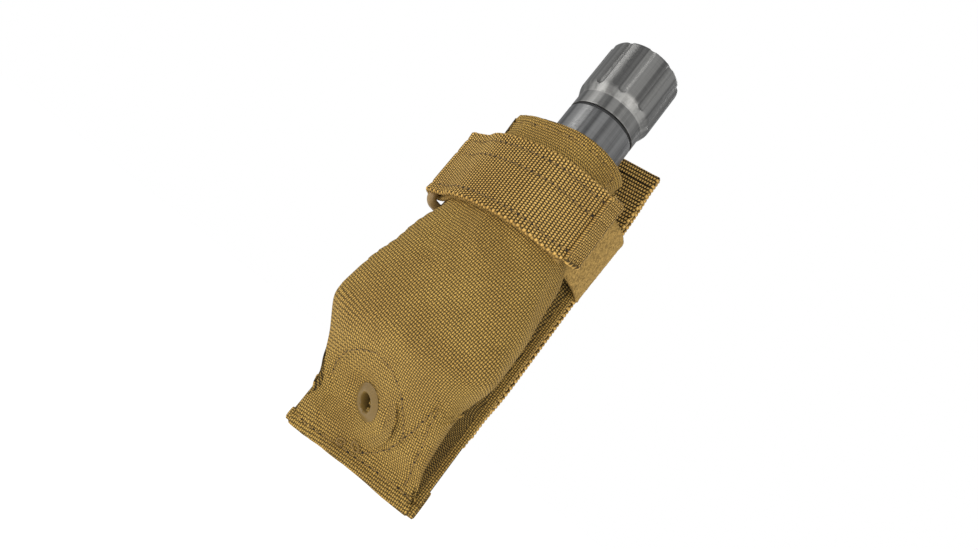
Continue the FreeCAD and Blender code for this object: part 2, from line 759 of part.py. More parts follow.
def make_switch():
    place = cap_place()
    bore = cell("thread_radius") - 0.15
    low = cell("retainer_start")
    retainer_top = low + cell("retainer_length")
    turned("switch_retainer", ring_outline(8, bore, low, retainer_top), place)
    board_low = retainer_top + cell("wall_gap")
    board_top = board_low + 1.4
    turned("switch_board", [(0, board_low), (bore, board_low), (bore, board_top), (0, board_top)], place)
    case_low = board_top + cell("wall_gap")
    case_top = case_low + cell("switch_length")
    well = cell("switch_bore")
    outline = [
        (0, case_low), (bore - 0.4, case_low), (bore - 0.4, case_top), (well, case_top),
        (well, case_low + 1), (0, case_low + 1),
    ]
    turned("switch_case", outline, place)

    stem = well - 0.3
    travel = cell("button_travel")
    stem_low = case_low + 1.2 + travel
    disc_low = case_top + travel + 1.2
    disc_top = disc_low + 1.4
    outline = [(0, stem_low), (stem, stem_low), (stem, disc_low), (5, disc_low), (5, disc_top), (0, disc_top)]
    turned("switch_plunger", outline, place)

    wall_low = cell("cap_length") - cell("cap_wall")
    flange_low = wall_low - cell("boot_flange") - 0.05
    flange_top = wall_low - 0.05
    dome = cell("boot_radius")
    skin = cell("boot_wall")
    top = wall_low + cell("boot_rise")
    outline = [
        (dome - skin, flange_low), (bore + 0.1, flange_low), (bore + 0.1, flange_top), (dome, flange_top),
        (dome - 0.2, top - 1.2), (dome - 1.4, top - 0.4), (dome - 4, top), (0, top),
        (0, top - skin), (dome - 4, top - skin), (dome - skin - 0.6, top - 1.6),
    ]
    turned("switch_boot", outline, place)

    spring_low = number("tube_start") + 1.6 + 2 * number("cell_length") + 0.15
    spring_top = number("light_length") - number("cap_length") + board_low.value
    wire = cell("spring_wire") / 2
    coil("contact_spring", 5.0, wire, spring_top - spring_low - 0.05, 5.2, light_place(spring_low))


# ---- build, check, export


def check_and_export():
    doc.recompute()
    for item in doc.Objects:
        if "Invalid" in item.State or "Error" in item.State:
            raise RuntimeError("%s failed: %s" % (item.Label, item.State))
    for node in NODES:
        shape = node.Shape
        if shape.isNull() or not shape.isValid() or shape.Volume <= 0:
            raise RuntimeError("%s has no valid solid" % node.Label)
    os.makedirs("parts", exist_ok=True)
    for node in NODES:
        node.Shape.exportStep("parts/%s.step" % node.Label)
        box = node.Shape.BoundBox
        print("%-16s solids %d volume %8.1f  x %6.1f %6.1f  y %6.1f %6.1f  z %6.1f %6.1f" % (
            node.Label, len(node.Shape.Solids), node.Shape.Volume,
            box.XMin, box.XMax, box.YMin, box.YMax, box.ZMin, box.ZMax))


make_back()
make_front_panel()
make_gusset("gusset_left", -1)
make_gusset("gusset_right", 1)
make_grommet()
make_strap()
make_ring()
make_keeper()
make_bezel()
make_head_shell()
make_optics()
make_driver()
make_tube()
make_cells()
make_tail_cap()
make_switch()
check_and_export()
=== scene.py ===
import json
import math

import bpy
import numpy as np
from mathutils import Matrix, Vector


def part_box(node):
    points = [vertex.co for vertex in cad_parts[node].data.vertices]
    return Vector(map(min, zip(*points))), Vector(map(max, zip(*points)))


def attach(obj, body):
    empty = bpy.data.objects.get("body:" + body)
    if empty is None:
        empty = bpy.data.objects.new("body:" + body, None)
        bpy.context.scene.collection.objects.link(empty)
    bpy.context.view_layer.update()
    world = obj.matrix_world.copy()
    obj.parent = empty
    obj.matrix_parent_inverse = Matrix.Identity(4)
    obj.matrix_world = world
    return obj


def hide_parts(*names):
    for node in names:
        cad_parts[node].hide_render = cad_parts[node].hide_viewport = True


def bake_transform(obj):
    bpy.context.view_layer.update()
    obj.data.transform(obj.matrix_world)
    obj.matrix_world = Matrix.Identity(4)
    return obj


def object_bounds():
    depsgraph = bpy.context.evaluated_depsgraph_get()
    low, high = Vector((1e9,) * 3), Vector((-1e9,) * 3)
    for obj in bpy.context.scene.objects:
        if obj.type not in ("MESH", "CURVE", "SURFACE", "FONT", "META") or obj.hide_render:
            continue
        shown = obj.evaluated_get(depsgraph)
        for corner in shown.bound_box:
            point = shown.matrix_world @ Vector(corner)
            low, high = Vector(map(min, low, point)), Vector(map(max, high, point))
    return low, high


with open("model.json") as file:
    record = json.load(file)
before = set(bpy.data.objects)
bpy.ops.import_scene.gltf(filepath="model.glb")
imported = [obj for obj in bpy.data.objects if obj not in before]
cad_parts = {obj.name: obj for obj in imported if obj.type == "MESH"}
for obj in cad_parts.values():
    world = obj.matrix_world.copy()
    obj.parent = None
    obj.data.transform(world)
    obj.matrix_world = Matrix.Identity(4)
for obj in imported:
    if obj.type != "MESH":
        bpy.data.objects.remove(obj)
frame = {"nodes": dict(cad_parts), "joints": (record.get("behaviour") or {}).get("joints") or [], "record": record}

cad_box = [list(corner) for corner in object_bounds()]

# Lengths below are in millimetres in the pouch's own axes: X 0 in the middle of the back, Y 0 on the
# front face of the back webbing (the front of the pouch is -Y), Z 0 on the seam of the bottom hem.
MM = 0.001
BACK_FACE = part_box("back_webbing")[0][1]
POUCH_HEIGHT = 140.0
ORIGIN = np.array([0.0, BACK_FACE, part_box("belt_loop")[1][2] - POUCH_HEIGHT * MM])


def pouch_mm(point):
    """A place of the frame, in metres, in the pouch's own millimetres."""
    return (np.array(point, float) - ORIGIN) / MM


def row(point):
    """A place in the pouch's own millimetres as a place of the frame, in metres."""
    return Vector(np.array(point, float) * MM + ORIGIN)


JOINTS = {joint["name"]: joint for joint in frame["joints"]}
LIGHT_X, LIGHT_Y, CAP_LOW = pouch_mm(JOINTS["tail_turn"]["pos_m"])
RING_BAR = pouch_mm(JOINTS["strap_peel"]["pos_m"])
LIGHT_TOP = pouch_mm(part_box("tail_cap")[1])[2]
BODY_RADIUS = (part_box("body_tube")[1][0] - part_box("body_tube")[0][0]) / 2 / MM
CAP_RADIUS = (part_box("tail_cap")[1][0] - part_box("tail_cap")[0][0]) / 2 / MM
WEB_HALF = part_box("back_webbing")[1][0] / MM
LOOP_LOW = pouch_mm(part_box("belt_loop")[0])[2]
LOOP_REAR = pouch_mm(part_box("belt_loop")[1])[1]
WEB_LOW = pouch_mm(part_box("back_webbing")[0])[2]
WEB_THICK = (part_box("back_webbing")[1][1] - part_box("back_webbing")[0][1]) / MM
PANEL_TOP = pouch_mm(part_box("front_panel")[1])[2]
STRAP_LOW = pouch_mm(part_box("strap_flap")[0])[2]
STRAP_HIGH = pouch_mm(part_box("strap_flap")[1])[2]
STRAP_MIDDLE = (STRAP_LOW + STRAP_HIGH) / 2
FOOT = pouch_mm(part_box("back_cloth")[0])[2]
MOUNTS = {mount["name"]: mount for mount in frame["record"]["mounts"]}
# The eyelet sits on the cloth, 1.5 mm out from its mount, and leans a little farther left than it.
EYELET = pouch_mm(MOUNTS["drain_eyelet"]["pos_m"]) + np.array(MOUNTS["drain_eyelet"]["axis"]) * 1.5
EYELET_AXIS = np.array(MOUNTS["drain_eyelet"]["axis"]) + (-0.12, -0.02, -0.09)
EYELET_AXIS /= np.linalg.norm(EYELET_AXIS)
FLANGE_RADIUS = 6.2
PATCH_RADIUS = 14.0

# The webbing's ribs, and the cloth lengths of a piece (millimetres) as its UV map holds them.
RIB = 1.15
BACK_RIB = 1.42
UV_SCALE = 0.01

rng = np.random.default_rng(11)


# ---- camera


def make_camera():
    """Stands low in front and to the right, close to the pouch, and is tilted on its side."""
    azimuth, elevation, roll = math.radians(17.57), math.radians(-12.56), math.radians(38.1)
    away = Vector((math.sin(azimuth) * math.cos(elevation), -math.cos(azimuth) * math.cos(elevation),
                   math.sin(elevation)))
    camera = bpy.data.objects.new("camera", bpy.data.cameras.new("camera"))
    bpy.context.scene.collection.objects.link(camera)
    upright = away.to_track_quat("Z", "Y").to_matrix().to_4x4()
    stand = Matrix.Translation(row((63.58, -207.1, 27.1)))
    camera.matrix_world = stand @ upright @ Matrix.Rotation(roll, 4, "Z")
    camera.data.lens = 23.56
    camera.data.sensor_width = 36.0
    camera.data.clip_start = 0.01
    bpy.context.scene.camera = camera


# ---- node helpers


class Graph:
    """A new material, and short calls for building its nodes."""

    def __init__(self, name):
        self.material = bpy.data.materials.new(name)
        self.material.use_nodes = True
        self.tree = self.material.node_tree
        self.shader = self.tree.nodes["Principled BSDF"]

    def node(self, kind, **values):
        made = self.tree.nodes.new(kind)
        for name, value in values.items():
            setattr(made, name, value)
        return made

    def feed(self, socket, value):
        if isinstance(value, bpy.types.NodeSocket):
            self.tree.links.new(value, socket)
        else:
            socket.default_value = value

    def look(self, **sockets):
        """Feeds the shader's sockets; a space in a name is written as _."""
        for name, value in sockets.items():
            self.feed(self.shader.inputs[name.replace("_", " ")], value)

    def math(self, operation, first, second=0.0, third=0.0):
        made = self.node("ShaderNodeMath", operation=operation)
        for socket, value in zip(made.inputs, (first, second, third)):
            self.feed(socket, value)
        return made.outputs[0]

    def swing(self, value, amount, base):
        """The base, with how far a value is from one half added to it in that amount."""
        return self.math("MULTIPLY_ADD", self.math("SUBTRACT", value, 0.5), amount, base)

    def hump(self, value):
        """A rounded rise from 0 to 1 and back for each whole number that the value passes."""
        return self.math("SINE", self.math("MULTIPLY", self.math("FRACT", value), math.pi))

    def mix(self, factor, first, second, blend="MIX"):
        made = self.node("ShaderNodeMix", data_type="RGBA", blend_type=blend)
        self.feed(made.inputs[0], factor)
        self.feed(made.inputs[6], first)
        self.feed(made.inputs[7], second)
        return made.outputs[2]

    def noise(self, scale, detail=3.0, vector=None, rough=0.5):
        made = self.node("ShaderNodeTexNoise")
        made.inputs["Scale"].default_value = scale
        made.inputs["Detail"].default_value = detail
        made.inputs["Roughness"].default_value = rough
        self.feed(made.inputs["Vector"], vector if vector else self.place())
        return made.outputs[0]

    def place(self):
        return self.node("ShaderNodeTexCoord").outputs["Object"]

    def stretched(self, scale):
        """The place in the object, scaled differently along each axis."""
        made = self.node("ShaderNodeMapping")
        self.feed(made.inputs[0], self.place())
        made.inputs["Scale"].default_value = scale
        return made.outputs[0]

    def cloth_lengths(self):
        """The two lengths along the cloth, in millimetres, from the piece's UV map."""
        split = self.node("ShaderNodeSeparateXYZ")
        self.feed(split.inputs[0], self.node("ShaderNodeTexCoord").outputs["UV"])
        return [self.math("DIVIDE", split.outputs[axis], UV_SCALE) for axis in (0, 1)]

    def bump(self, height, distance, normal=None):
        made = self.node("ShaderNodeBump")
        made.inputs["Strength"].default_value = 1.0
        made.inputs["Distance"].default_value = distance
        self.feed(made.inputs["Height"], height)
        if normal:
            self.feed(made.inputs["Normal"], normal)
        return made.outputs[0]

    def ramp(self, value, low, high):
        made = self.node("ShaderNodeMapRange", interpolation_type="SMOOTHSTEP")
        self.feed(made.inputs[0], value)
        made.inputs[1].default_value = low
        made.inputs[2].default_value = high
        return made.outputs[0]


def rgb(red, green, blue):
    return (red, green, blue, 1.0)


def scaled(color, factor):
    return (color[0] * factor, color[1] * factor, color[2] * factor, 1.0)


def unevenness(g, amount, warmth=0.04):
    """A slow change of shade over the cloth, a little warmer where it is lighter."""
    low = rgb(1 - amount, 1 - amount - warmth, 1 - amount - 2 * warmth)
    return g.mix(g.ramp(g.noise(60.0, 4.0), 0.3, 0.72), low, rgb(1 + amount, 1 + amount, 1 + amount))


def finish_cloth(g, height, color, gap_shade, depth, sheen, patch):
    """Colours the cloth by the height of its yarns, with painted shade between them and a painted highlight on
    their crowns, and adds the fibres' fuzz.
    """
    fibres = g.noise(4200.0, 2.0)
    yarn_painted_light = g.swing(fibres, 0.35, g.ramp(height, 0.16, 0.86))
    # Painted shade between the yarns (the tan times the gap number) and a painted highlight on their crowns (1.42
    # times the tan).
    base = g.mix(yarn_painted_light, scaled(color, gap_shade), scaled(color, 1.42))
    relief = g.math("MULTIPLY_ADD", fibres, 0.22, height)
    g.look(Base_Color=g.mix(1.0, base, unevenness(g, patch), "MULTIPLY"),
           Roughness=g.math("MULTIPLY_ADD", yarn_painted_light, -0.14, 0.84), Sheen_Weight=sheen, Sheen_Roughness=0.5,
           Sheen_Tint=scaled(color, 2.0), Specular_IOR_Level=0.28, Normal=g.bump(relief, depth * MM))
    return g.material


def woven(name, color, pitch_u, pitch_v, depth, gap_shade=0.10, sheen=0.12):
    """Plain weave: yarns over and under each other, with painted shade between them, with uneven yarns and
    patches.
    """
    g = Graph(name)
    u, v = g.cloth_lengths()
    across = g.math("DIVIDE", g.swing(g.noise(900.0, 2.0), 0.4, u), pitch_u)
    along = g.math("DIVIDE", g.swing(g.noise(700.0, 2.0), 0.4, v), pitch_v)
    cells = g.math("ADD", g.math("FLOOR", across), g.math("FLOOR", along))
    parity = g.math("GREATER_THAN", g.math("FRACT", g.math("MULTIPLY", cells, 0.5)), 0.25)
    hump_u, hump_v = g.hump(across), g.hump(along)
    chosen = g.node("ShaderNodeMix", data_type="FLOAT")
    g.feed(chosen.inputs[0], parity)
    g.feed(chosen.inputs[2], g.math("MULTIPLY", hump_u, g.math("MULTIPLY_ADD", hump_v, 0.6, 0.4)))
    second = g.math("MULTIPLY", hump_v, g.math("MULTIPLY_ADD", hump_u, 0.6, 0.4))
    g.feed(chosen.inputs[3], g.math("MULTIPLY", second, 0.74))
    return finish_cloth(g, chosen.outputs[0], color, gap_shade, depth, sheen, 0.10)


def ribbed(name, color, pitch, bump_pitch, depth, gap_shade=0.05):
    """Webbing: cords across it side by side, each crossed by fine warp yarns."""
    g = Graph(name)
    u, v = g.cloth_lengths()
    v = g.swing(g.noise(900.0, 2.0), 0.3, v)
    cord = g.math("DIVIDE", u, pitch)
    shift = g.math("FRACT", g.math("MULTIPLY", g.math("FLOOR", cord), 0.5))
    warp = g.math("ADD", g.math("DIVIDE", v, bump_pitch), shift)
    bead = g.math("POWER", g.hump(warp), 1.5)
    cord_hump = g.math("POWER", g.hump(cord), 0.9)
    height = g.math("MULTIPLY", cord_hump, g.math("MULTIPLY_ADD", bead, 0.75, 0.25))
    # The cords get the same painted shade between them and painted highlight on their crowns.
    return finish_cloth(g, height, color, gap_shade, depth, 0.12, 0.08)


def brushed(name, color, sheen):
    """Loop tape: a nap of fine tangled fibres with no weave to be seen."""
    g = Graph(name)
    tangle = g.noise(1100.0, 6.0, rough=0.75)
    clumps = g.noise(330.0, 4.0)
    base = g.mix(g.ramp(tangle, 0.38, 0.62), scaled(color, 0.5), scaled(color, 1.3))
    base = g.mix(g.math("MULTIPLY", g.ramp(clumps, 0.45, 0.7), 0.5), base, scaled(color, 0.95))
    g.look(Base_Color=base, Roughness=0.95, Sheen_Weight=sheen, Sheen_Tint=scaled(color, 2.0),
           Specular_IOR_Level=0.15, Normal=g.bump(tangle, 0.35 * MM, g.bump(clumps, 0.4 * MM)))
    return g.material


def solid(name, color, roughness, grain=0.0, grain_scale=900.0, uneven=0.06, **sockets):
    """Moulded, painted or machined: a colour and a gloss that both vary a little, and a fine grain."""
    g = Graph(name)
    cloud = g.noise(140.0, 4.0)
    g.look(Base_Color=g.mix(cloud, scaled(color, 1 - uneven), scaled(color, 1 + uneven)),
           Roughness=g.math("MULTIPLY_ADD", cloud, 0.12, roughness - 0.06), **sockets)
    if grain:
        g.look(Normal=g.bump(g.noise(grain_scale, 3.0), grain * MM))
    return g.material


def anodised(name, color, roughness):
    """Hard anodised aluminium: satin, with faint turning marks round it, painted reflection streaks along it in
    its colour and gloss, and bead-blast grain.
    """
    g = Graph(name)
    rings = g.noise(2600.0, 3.0, g.stretched((0.05, 0.05, 1.0)))
    # Painted reflection: streaks along the axis, lighter and darker in the colour, stand in for reflected strip
    # lights.
    painted_reflection_streaks = g.ramp(g.noise(190.0, 4.0, g.stretched((1.0, 1.0, 0.015)), 0.6), 0.36, 0.64)
    turning_marks_and_painted_streaks = g.swing(rings, 0.4, painted_reflection_streaks)
    fine = g.bump(g.noise(6500.0, 2.0), 0.012 * MM)
    g.look(Base_Color=g.mix(turning_marks_and_painted_streaks, scaled(color, 0.62), scaled(color, 1.5)), Metallic=0.9,
           Roughness=g.math("MULTIPLY_ADD", turning_marks_and_painted_streaks, 0.12, roughness - 0.06),
           Normal=g.bump(rings, 0.008 * MM, fine))
    return g.material


CLOTH_TAN = rgb(0.465, 0.290, 0.068)
WEB_TAN = rgb(0.57, 0.356, 0.096)
NAP_TAN = rgb(0.42, 0.265, 0.08)
# The thread's tan is about half the cloth's: partly its own colour, and partly darkened further to paint the shade
# in the seams' grooves.
SHADED_THREAD_TAN = rgb(0.27, 0.165, 0.046)
WEFT_PITCH = 0.74
WARP_PITCH = 0.95
DARK_GREY = rgb(0.235, 0.232, 0.222)


def make_materials():
    return {
        "cloth": woven("cordura", CLOTH_TAN, WEFT_PITCH, WARP_PITCH, 0.36, sheen=0.2, gap_shade=0.14),
        "lining": woven("lining", scaled(CLOTH_TAN, 0.9), 0.8, 0.8, 0.2),
        # The gusset is the front's own nylon at 0.6 of its tan: painted shade for the sides tucked in behind the
        # front.
        "gusset": woven("gusset_cloth", scaled(CLOTH_TAN, 0.6), 1.15, 1.15, 0.5, gap_shade=0.02),
        "webbing": ribbed("webbing", WEB_TAN, RIB, 0.84, 0.36),
        "webbing_end": woven("webbing_end", scaled(WEB_TAN, 0.88), 0.6, 0.84, 0.3),
        "webbing_rows": ribbed("webbing_rows", scaled(WEB_TAN, 0.96), BACK_RIB, 0.95, 0.4, gap_shade=0.0),
        "nap": brushed("loop_nap", NAP_TAN, 0.25),
        "hooks": brushed("hook_face", scaled(NAP_TAN, 0.7), 0.1),
        "thread": solid("thread", SHADED_THREAD_TAN, 0.7, grain=0.06, grain_scale=3000.0, uneven=0.15),
        # Nearly black: painted shade for the insides of the needle holes, laid on small domes over the cloth.
        "needle_hole": solid("needle_hole", rgb(0.02, 0.013, 0.006), 0.9, uneven=0.2),
        "ring": solid("ring_plastic", rgb(0.30, 0.19, 0.068), 0.46, grain=0.05, grain_scale=1500.0),
        "eyelet": solid("painted_eyelet", rgb(0.20, 0.124, 0.033), 0.33, grain=0.03,
                        Specular_IOR_Level=0.35),
        "anodised": anodised("anodised", DARK_GREY, 0.46),
        "anodised_body": anodised("anodised_body", rgb(0.235, 0.234, 0.23), 0.42),
        "rubber": solid("black_rubber", rgb(0.018, 0.018, 0.018), 0.62, grain=0.04, grain_scale=1800.0),
        "plastic": solid("black_plastic", rgb(0.03, 0.03, 0.03), 0.5, grain=0.02),
        "bare": anodised("bare_aluminium", rgb(0.62, 0.62, 0.63), 0.3),
        "brass": anodised("turned_brass", rgb(0.62, 0.44, 0.17), 0.3),
        "steel": solid("spring_steel", rgb(0.55, 0.55, 0.56), 0.28, Metallic=1.0, grain=0.01),
        "mirror": solid("reflector", rgb(0.9, 0.9, 0.9), 0.1, Metallic=1.0, grain=0.03, grain_scale=700.0),
        "board": solid("circuit_board", rgb(0.03, 0.14, 0.06), 0.45, grain=0.02, Coat_Weight=0.4),
        "phosphor": solid("phosphor", rgb(0.80, 0.62, 0.06), 0.4, grain=0.02),
        "wrap": solid("cell_wrap", rgb(0.05, 0.07, 0.12), 0.35, grain=0.01, Coat_Weight=0.3),
        "glass": solid("lens_glass", rgb(0.95, 0.98, 1.0), 0.06, Transmission_Weight=1.0),
    }


# ---- mesh helpers


def mesh_piece(name, points, faces, material, body, uvs=None):
    """A mesh object from places in the pouch's millimetres, riding on a body."""
    mesh = bpy.data.meshes.new(name)
    places = np.asarray(points, float).reshape(-1, 3) * MM + ORIGIN
    mesh.from_pydata(places.tolist(), [], faces)
    mesh.update()
    mesh.polygons.foreach_set("use_smooth", [True] * len(mesh.polygons))
    if uvs is not None:
        layer = mesh.uv_layers.new(name="UVMap")
        index = np.empty(len(mesh.loops), dtype=np.int64)
        mesh.loops.foreach_get("vertex_index", index)
        layer.data.foreach_set("uv", (np.asarray(uvs).reshape(-1, 2)[index] * UV_SCALE).ravel())
    mesh.materials.append(material)
    piece = bpy.data.objects.new(name, mesh)
    bpy.context.scene.collection.objects.link(piece)
    if body:
        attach(piece, body)
    return piece


def joined(parts):
    """Several (points, faces) as one."""
    points, faces, start = [], [], 0
    for part_points, part_faces in parts:
        part_points = np.asarray(part_points).reshape(-1, 3)
        points.append(part_points)
        faces += [tuple(index + start for index in face) for face in part_faces]
        start += len(part_points)
    return np.concatenate(points), faces


def unit(vectors):
    """The vectors at length one."""
    return vectors / np.maximum(np.linalg.norm(vectors, axis=-1, keepdims=True), 1e-9)


def normals_of(grid):
    """Unit normals of a grid of points: its first direction crossed with its second."""
    return unit(np.cross(np.gradient(grid, axis=0), np.gradient(grid, axis=1)))


def lengths_along(points):
    """How far along a line each of its points is."""
    steps = np.linalg.norm(np.diff(points, axis=0), axis=1)
    return np.concatenate([[0], np.cumsum(steps)])


def softened(values, passes, axis=0):
    """Values evened out along an axis, with the two ends kept."""
    values = np.array(values, float)
    values = np.moveaxis(values, axis, 0)
    for _ in range(passes):
        values[1:-1] = values[1:-1] * 0.5 + (values[:-2] + values[2:]) * 0.25
    return np.moveaxis(values, 0, axis)


def resampled(points, count):
    """A line of points spaced evenly along its length."""
    points = np.asarray(points, float)
    reach = lengths_along(points)
    wanted = np.linspace(0, reach[-1], count)
    return np.stack([np.interp(wanted, reach, points[:, axis]) for axis in range(points.shape[1])], axis=1)


def curve_through(points, count):
    """A smooth line through a few points (Catmull-Rom), spaced evenly."""
    points = np.asarray(points, float)
    padded = np.concatenate([[2 * points[0] - points[1]], points, [2 * points[-1] - points[-2]]])
    line = []
    for index in range(len(points) - 1):
        a, b, c, d = padded[index:index + 4]
        for part in np.linspace(0, 1, 24, endpoint=False):
            line.append(0.5 * (2 * b + (c - a) * part + (2 * a - 5 * b + 4 * c - d) * part ** 2
                               + (3 * b - a - 3 * c + d) * part ** 3))
    line.append(points[-1])
    return resampled(line, count)


class Cloth:
    """A sheet of cloth as a grid of points, first direction across and second direction up."""

    def __init__(self, grid):
        self.grid = np.array(grid, float)
        self.refresh()
        steps_across = np.linalg.norm(np.diff(self.grid, axis=0), axis=2)
        steps_up = np.linalg.norm(np.diff(self.grid, axis=1), axis=2)
        count_across, count_up = self.grid.shape[:2]
        middle = count_across // 2
        self.across = np.concatenate([np.zeros((1, count_up)), np.cumsum(steps_across, axis=0)])
        self.across -= self.across[middle]
        self.up = np.concatenate([np.zeros((count_across, 1)), np.cumsum(steps_up, axis=1)], axis=1)

    def refresh(self):
        self.normal = normals_of(self.grid)

    def raise_by(self, height):
        self.grid += self.normal * height[..., None]
        self.refresh()

    def at(self, path):
        """Points and normals along a path given as parts (0 to 1) of the grid's two directions."""
        rows, columns = self.grid.shape[:2]
        a, b = (np.clip(path, 0, 1) * (rows - 1, columns - 1)).T
        i = np.minimum(a.astype(int), rows - 2)
        j = np.minimum(b.astype(int), columns - 2)
        fa, fb = (a - i)[:, None], (b - j)[:, None]
        found = []
        for field in (self.grid, self.normal):
            low = field[i, j] * (1 - fa) + field[i + 1, j] * fa
            high = field[i, j + 1] * (1 - fa) + field[i + 1, j + 1] * fa
            found.append(low * (1 - fb) + high * fb)
        return found

    def path(self, places, steps=60):
        """The parts of a run of straight stretches between places on the sheet."""
        line = []
        for start, end in zip(places, places[1:]):
            for part in np.linspace(0, 1, steps, endpoint=False):
                line.append([start[0] + (end[0] - start[0]) * part, start[1] + (end[1] - start[1]) * part])
        line.append(list(places[-1]))
        return np.array(line)

    def distance_to(self, path):
        """How far each point of the sheet is from a path on it."""
        points, _ = self.at(path)
        nearest = np.full(self.grid.shape[:2], 1e9)
        for point in points[::2]:
            nearest = np.minimum(nearest, ((self.grid - point) ** 2).sum(axis=2))
        return np.sqrt(nearest)

    def sew(self, path, depth=0.35, width=0.9, pucker=0.12, pitch=3.0):
        """Draws the cloth in along a seam, with small puckers beside it."""
        away = self.distance_to(path)
        groove = -depth * np.exp(-(away / width) ** 2)
        ripple = np.sin((self.across + self.up) * 2 * math.pi / (pitch * 1.35))
        ruck = pucker * ripple * np.exp(-((away - 1.6) / 1.6) ** 2)
        self.raise_by(groove + ruck)

    def solid(self, thickness, hole=None):
        """Points, faces and cloth lengths of the sheet with its thickness behind it."""
        return slab(self.grid, self.grid - self.normal * thickness, self.across, self.up, hole)


def slab(front, back, across, up, hole=None):
    """A closed solid between two grids, with a half-round edge, and a hole where the mask says."""
    rows, columns = front.shape[:2]
    size = rows * columns
    index = np.arange(size).reshape(rows, columns)
    faces = []
    quads = np.stack([index[:-1, :-1], index[1:, :-1], index[1:, 1:], index[:-1, 1:]], axis=-1).reshape(-1, 4)
    if hole is not None:
        cut = hole.ravel()[quads].all(axis=1)
        kept_edges = {(quad[k], quad[(k + 1) % 4]) for quad in quads[~cut].tolist() for k in range(4)}
        for quad in quads[cut].tolist():
            for k in range(4):
                a, b = quad[k], quad[(k + 1) % 4]
                if (b, a) in kept_edges:
                    faces.append((a, b, b + size, a + size))
        quads = quads[~cut]
    faces += [tuple(quad) for quad in quads.tolist()]
    faces += [tuple(quad) for quad in (quads[:, ::-1] + size).tolist()]
    border = np.concatenate([index[:, 0], index[-1, 1:], index[-2::-1, -1], index[0, -2:0:-1]])
    flat_front = front.reshape(-1, 3)
    flat_back = back.reshape(-1, 3)
    lengths = np.stack([across, up], axis=-1).reshape(-1, 2)
    middle = (flat_front[border] + flat_back[border]) / 2
    run = np.roll(middle, -1, axis=0) - np.roll(middle, 1, axis=0)
    through = flat_front[border] - flat_back[border]
    out = unit(np.cross(run, through))
    half = np.linalg.norm(through, axis=1, keepdims=True) / 2
    points = [flat_front, flat_back, middle + out * half * 0.8]
    uvs = [lengths, lengths, lengths[border] + 0.3]
    edge = np.arange(len(border)) + 2 * size
    following, next_border = np.roll(edge, -1), np.roll(border, -1)
    faces += [tuple(face) for face in np.stack([edge, following, next_border, border], axis=-1).tolist()]
    faces += [tuple(face) for face in
              np.stack([border + size, next_border + size, following, edge], axis=-1).tolist()]
    return np.concatenate(points), faces, np.concatenate(uvs)


def strand(centre, radius, sides=8):
    """A round thread along a line of points."""
    centre = np.asarray(centre, float)
    run = unit(np.gradient(centre, axis=0))
    side = unit(np.cross(run, np.array([0.31, 0.53, 0.79])))
    over = np.cross(side, run)
    angles = np.linspace(0, 2 * math.pi, sides, endpoint=False)
    return tube(centre, side, over, np.full(len(centre), radius), angles)


def stitches(places, normals, pitch=2.8, length=2.2, radius=0.2, sink=0.16):
    """Thread stitches end to end along a line on cloth, and a small dark dome of painted shade at each needle hole
    that they dip into.
    """
    reach = lengths_along(places)
    count = max(1, int(reach[-1] / pitch))
    threads, hole_shades = [], []
    sides, rings = 7, 7
    angles = np.linspace(0, 2 * math.pi, sides, endpoint=False)
    for index in range(count):
        start = (index + 0.5) * reach[-1] / count - length / 2 + rng.normal(0, 0.08)
        along = np.linspace(start, start + length, rings)
        centre = np.stack([np.interp(along, reach, places[:, axis]) for axis in range(3)], axis=1)
        normal = np.stack([np.interp(along, reach, normals[:, axis]) for axis in range(3)], axis=1)
        arch = np.sin(np.linspace(0, math.pi, rings))
        centre = centre + normal * (arch * (radius * 0.9 + sink) - sink)[:, None]
        run = centre[-1] - centre[0]
        run /= max(np.linalg.norm(run), 1e-9)
        side = unit(np.cross(run, normal))
        over = np.cross(side, run)
        thick = radius * (0.55 + 0.45 * arch)
        threads.append(tube(centre, side, over, thick, angles))
        # A dark dome at the needle hole: painted shade where the thread goes into the cloth.
        spot = centre[-1] + run * (pitch - length) * 0.5 + normal[-1] * (sink - 0.02)
        size = 0.3 + 0.12 * rng.random()
        spokes = side[-1][None, :] * np.cos(angles)[:, None] + run[None, :] * 1.35 * np.sin(angles)[:, None]
        rim = spot + spokes * size
        dome = np.concatenate([rim, rim * 0.5 + spot * 0.5 + normal[-1] * 0.09, [spot + normal[-1] * 0.11],
                               [spot - normal[-1] * 0.2]])
        around = [(k, (k + 1) % sides) for k in range(sides)]
        cover = [(a, b, b + sides, a + sides) for a, b in around]
        cover += [(a + sides, b + sides, 2 * sides) for a, b in around]
        cover += [(b, a, 2 * sides + 1) for a, b in around]
        hole_shades.append((dome, cover))
    return joined(threads), joined(hole_shades)


def sew_thread(name, lines, materials, body, slot="cloth", **looks):
    """The thread and the painted-shade domes at the needle holes of some seams, each a line of points and their
    normals.
    """
    made = [stitches(places, normals, **looks) for places, normals in lines]
    for index, (kind, look) in enumerate((("stitching", "thread"), ("needle_holes", "needle_hole"))):
        points, faces = joined([pair[index] for pair in made])
        piece = mesh_piece(name + "_" + kind, points, faces, materials[look], body)


def tube(centre, side, over, thick, angles):
    """A tube with closed ends: rings about a line, in the plane of two directions at each point."""
    ring = side[:, None, :] * np.cos(angles)[None, :, None] + over[:, None, :] * np.sin(angles)[None, :, None]
    body = centre[:, None, :] + ring * np.asarray(thick)[:, None, None]
    rings, sides = len(centre), len(angles)
    first, last = rings * sides, rings * sides + 1
    around = [(j, (j + 1) % sides) for j in range(sides)]
    faces = []
    for start in range(0, (rings - 1) * sides, sides):
        faces += [(start + j, start + sides + j, start + sides + k, start + k) for j, k in around]
    end = (rings - 1) * sides
    for j, k in around:
        faces += [(j, k, first), (end + k, end + j, last)]
    return np.concatenate([body.reshape(-1, 3), centre[:1], centre[-1:]]), faces


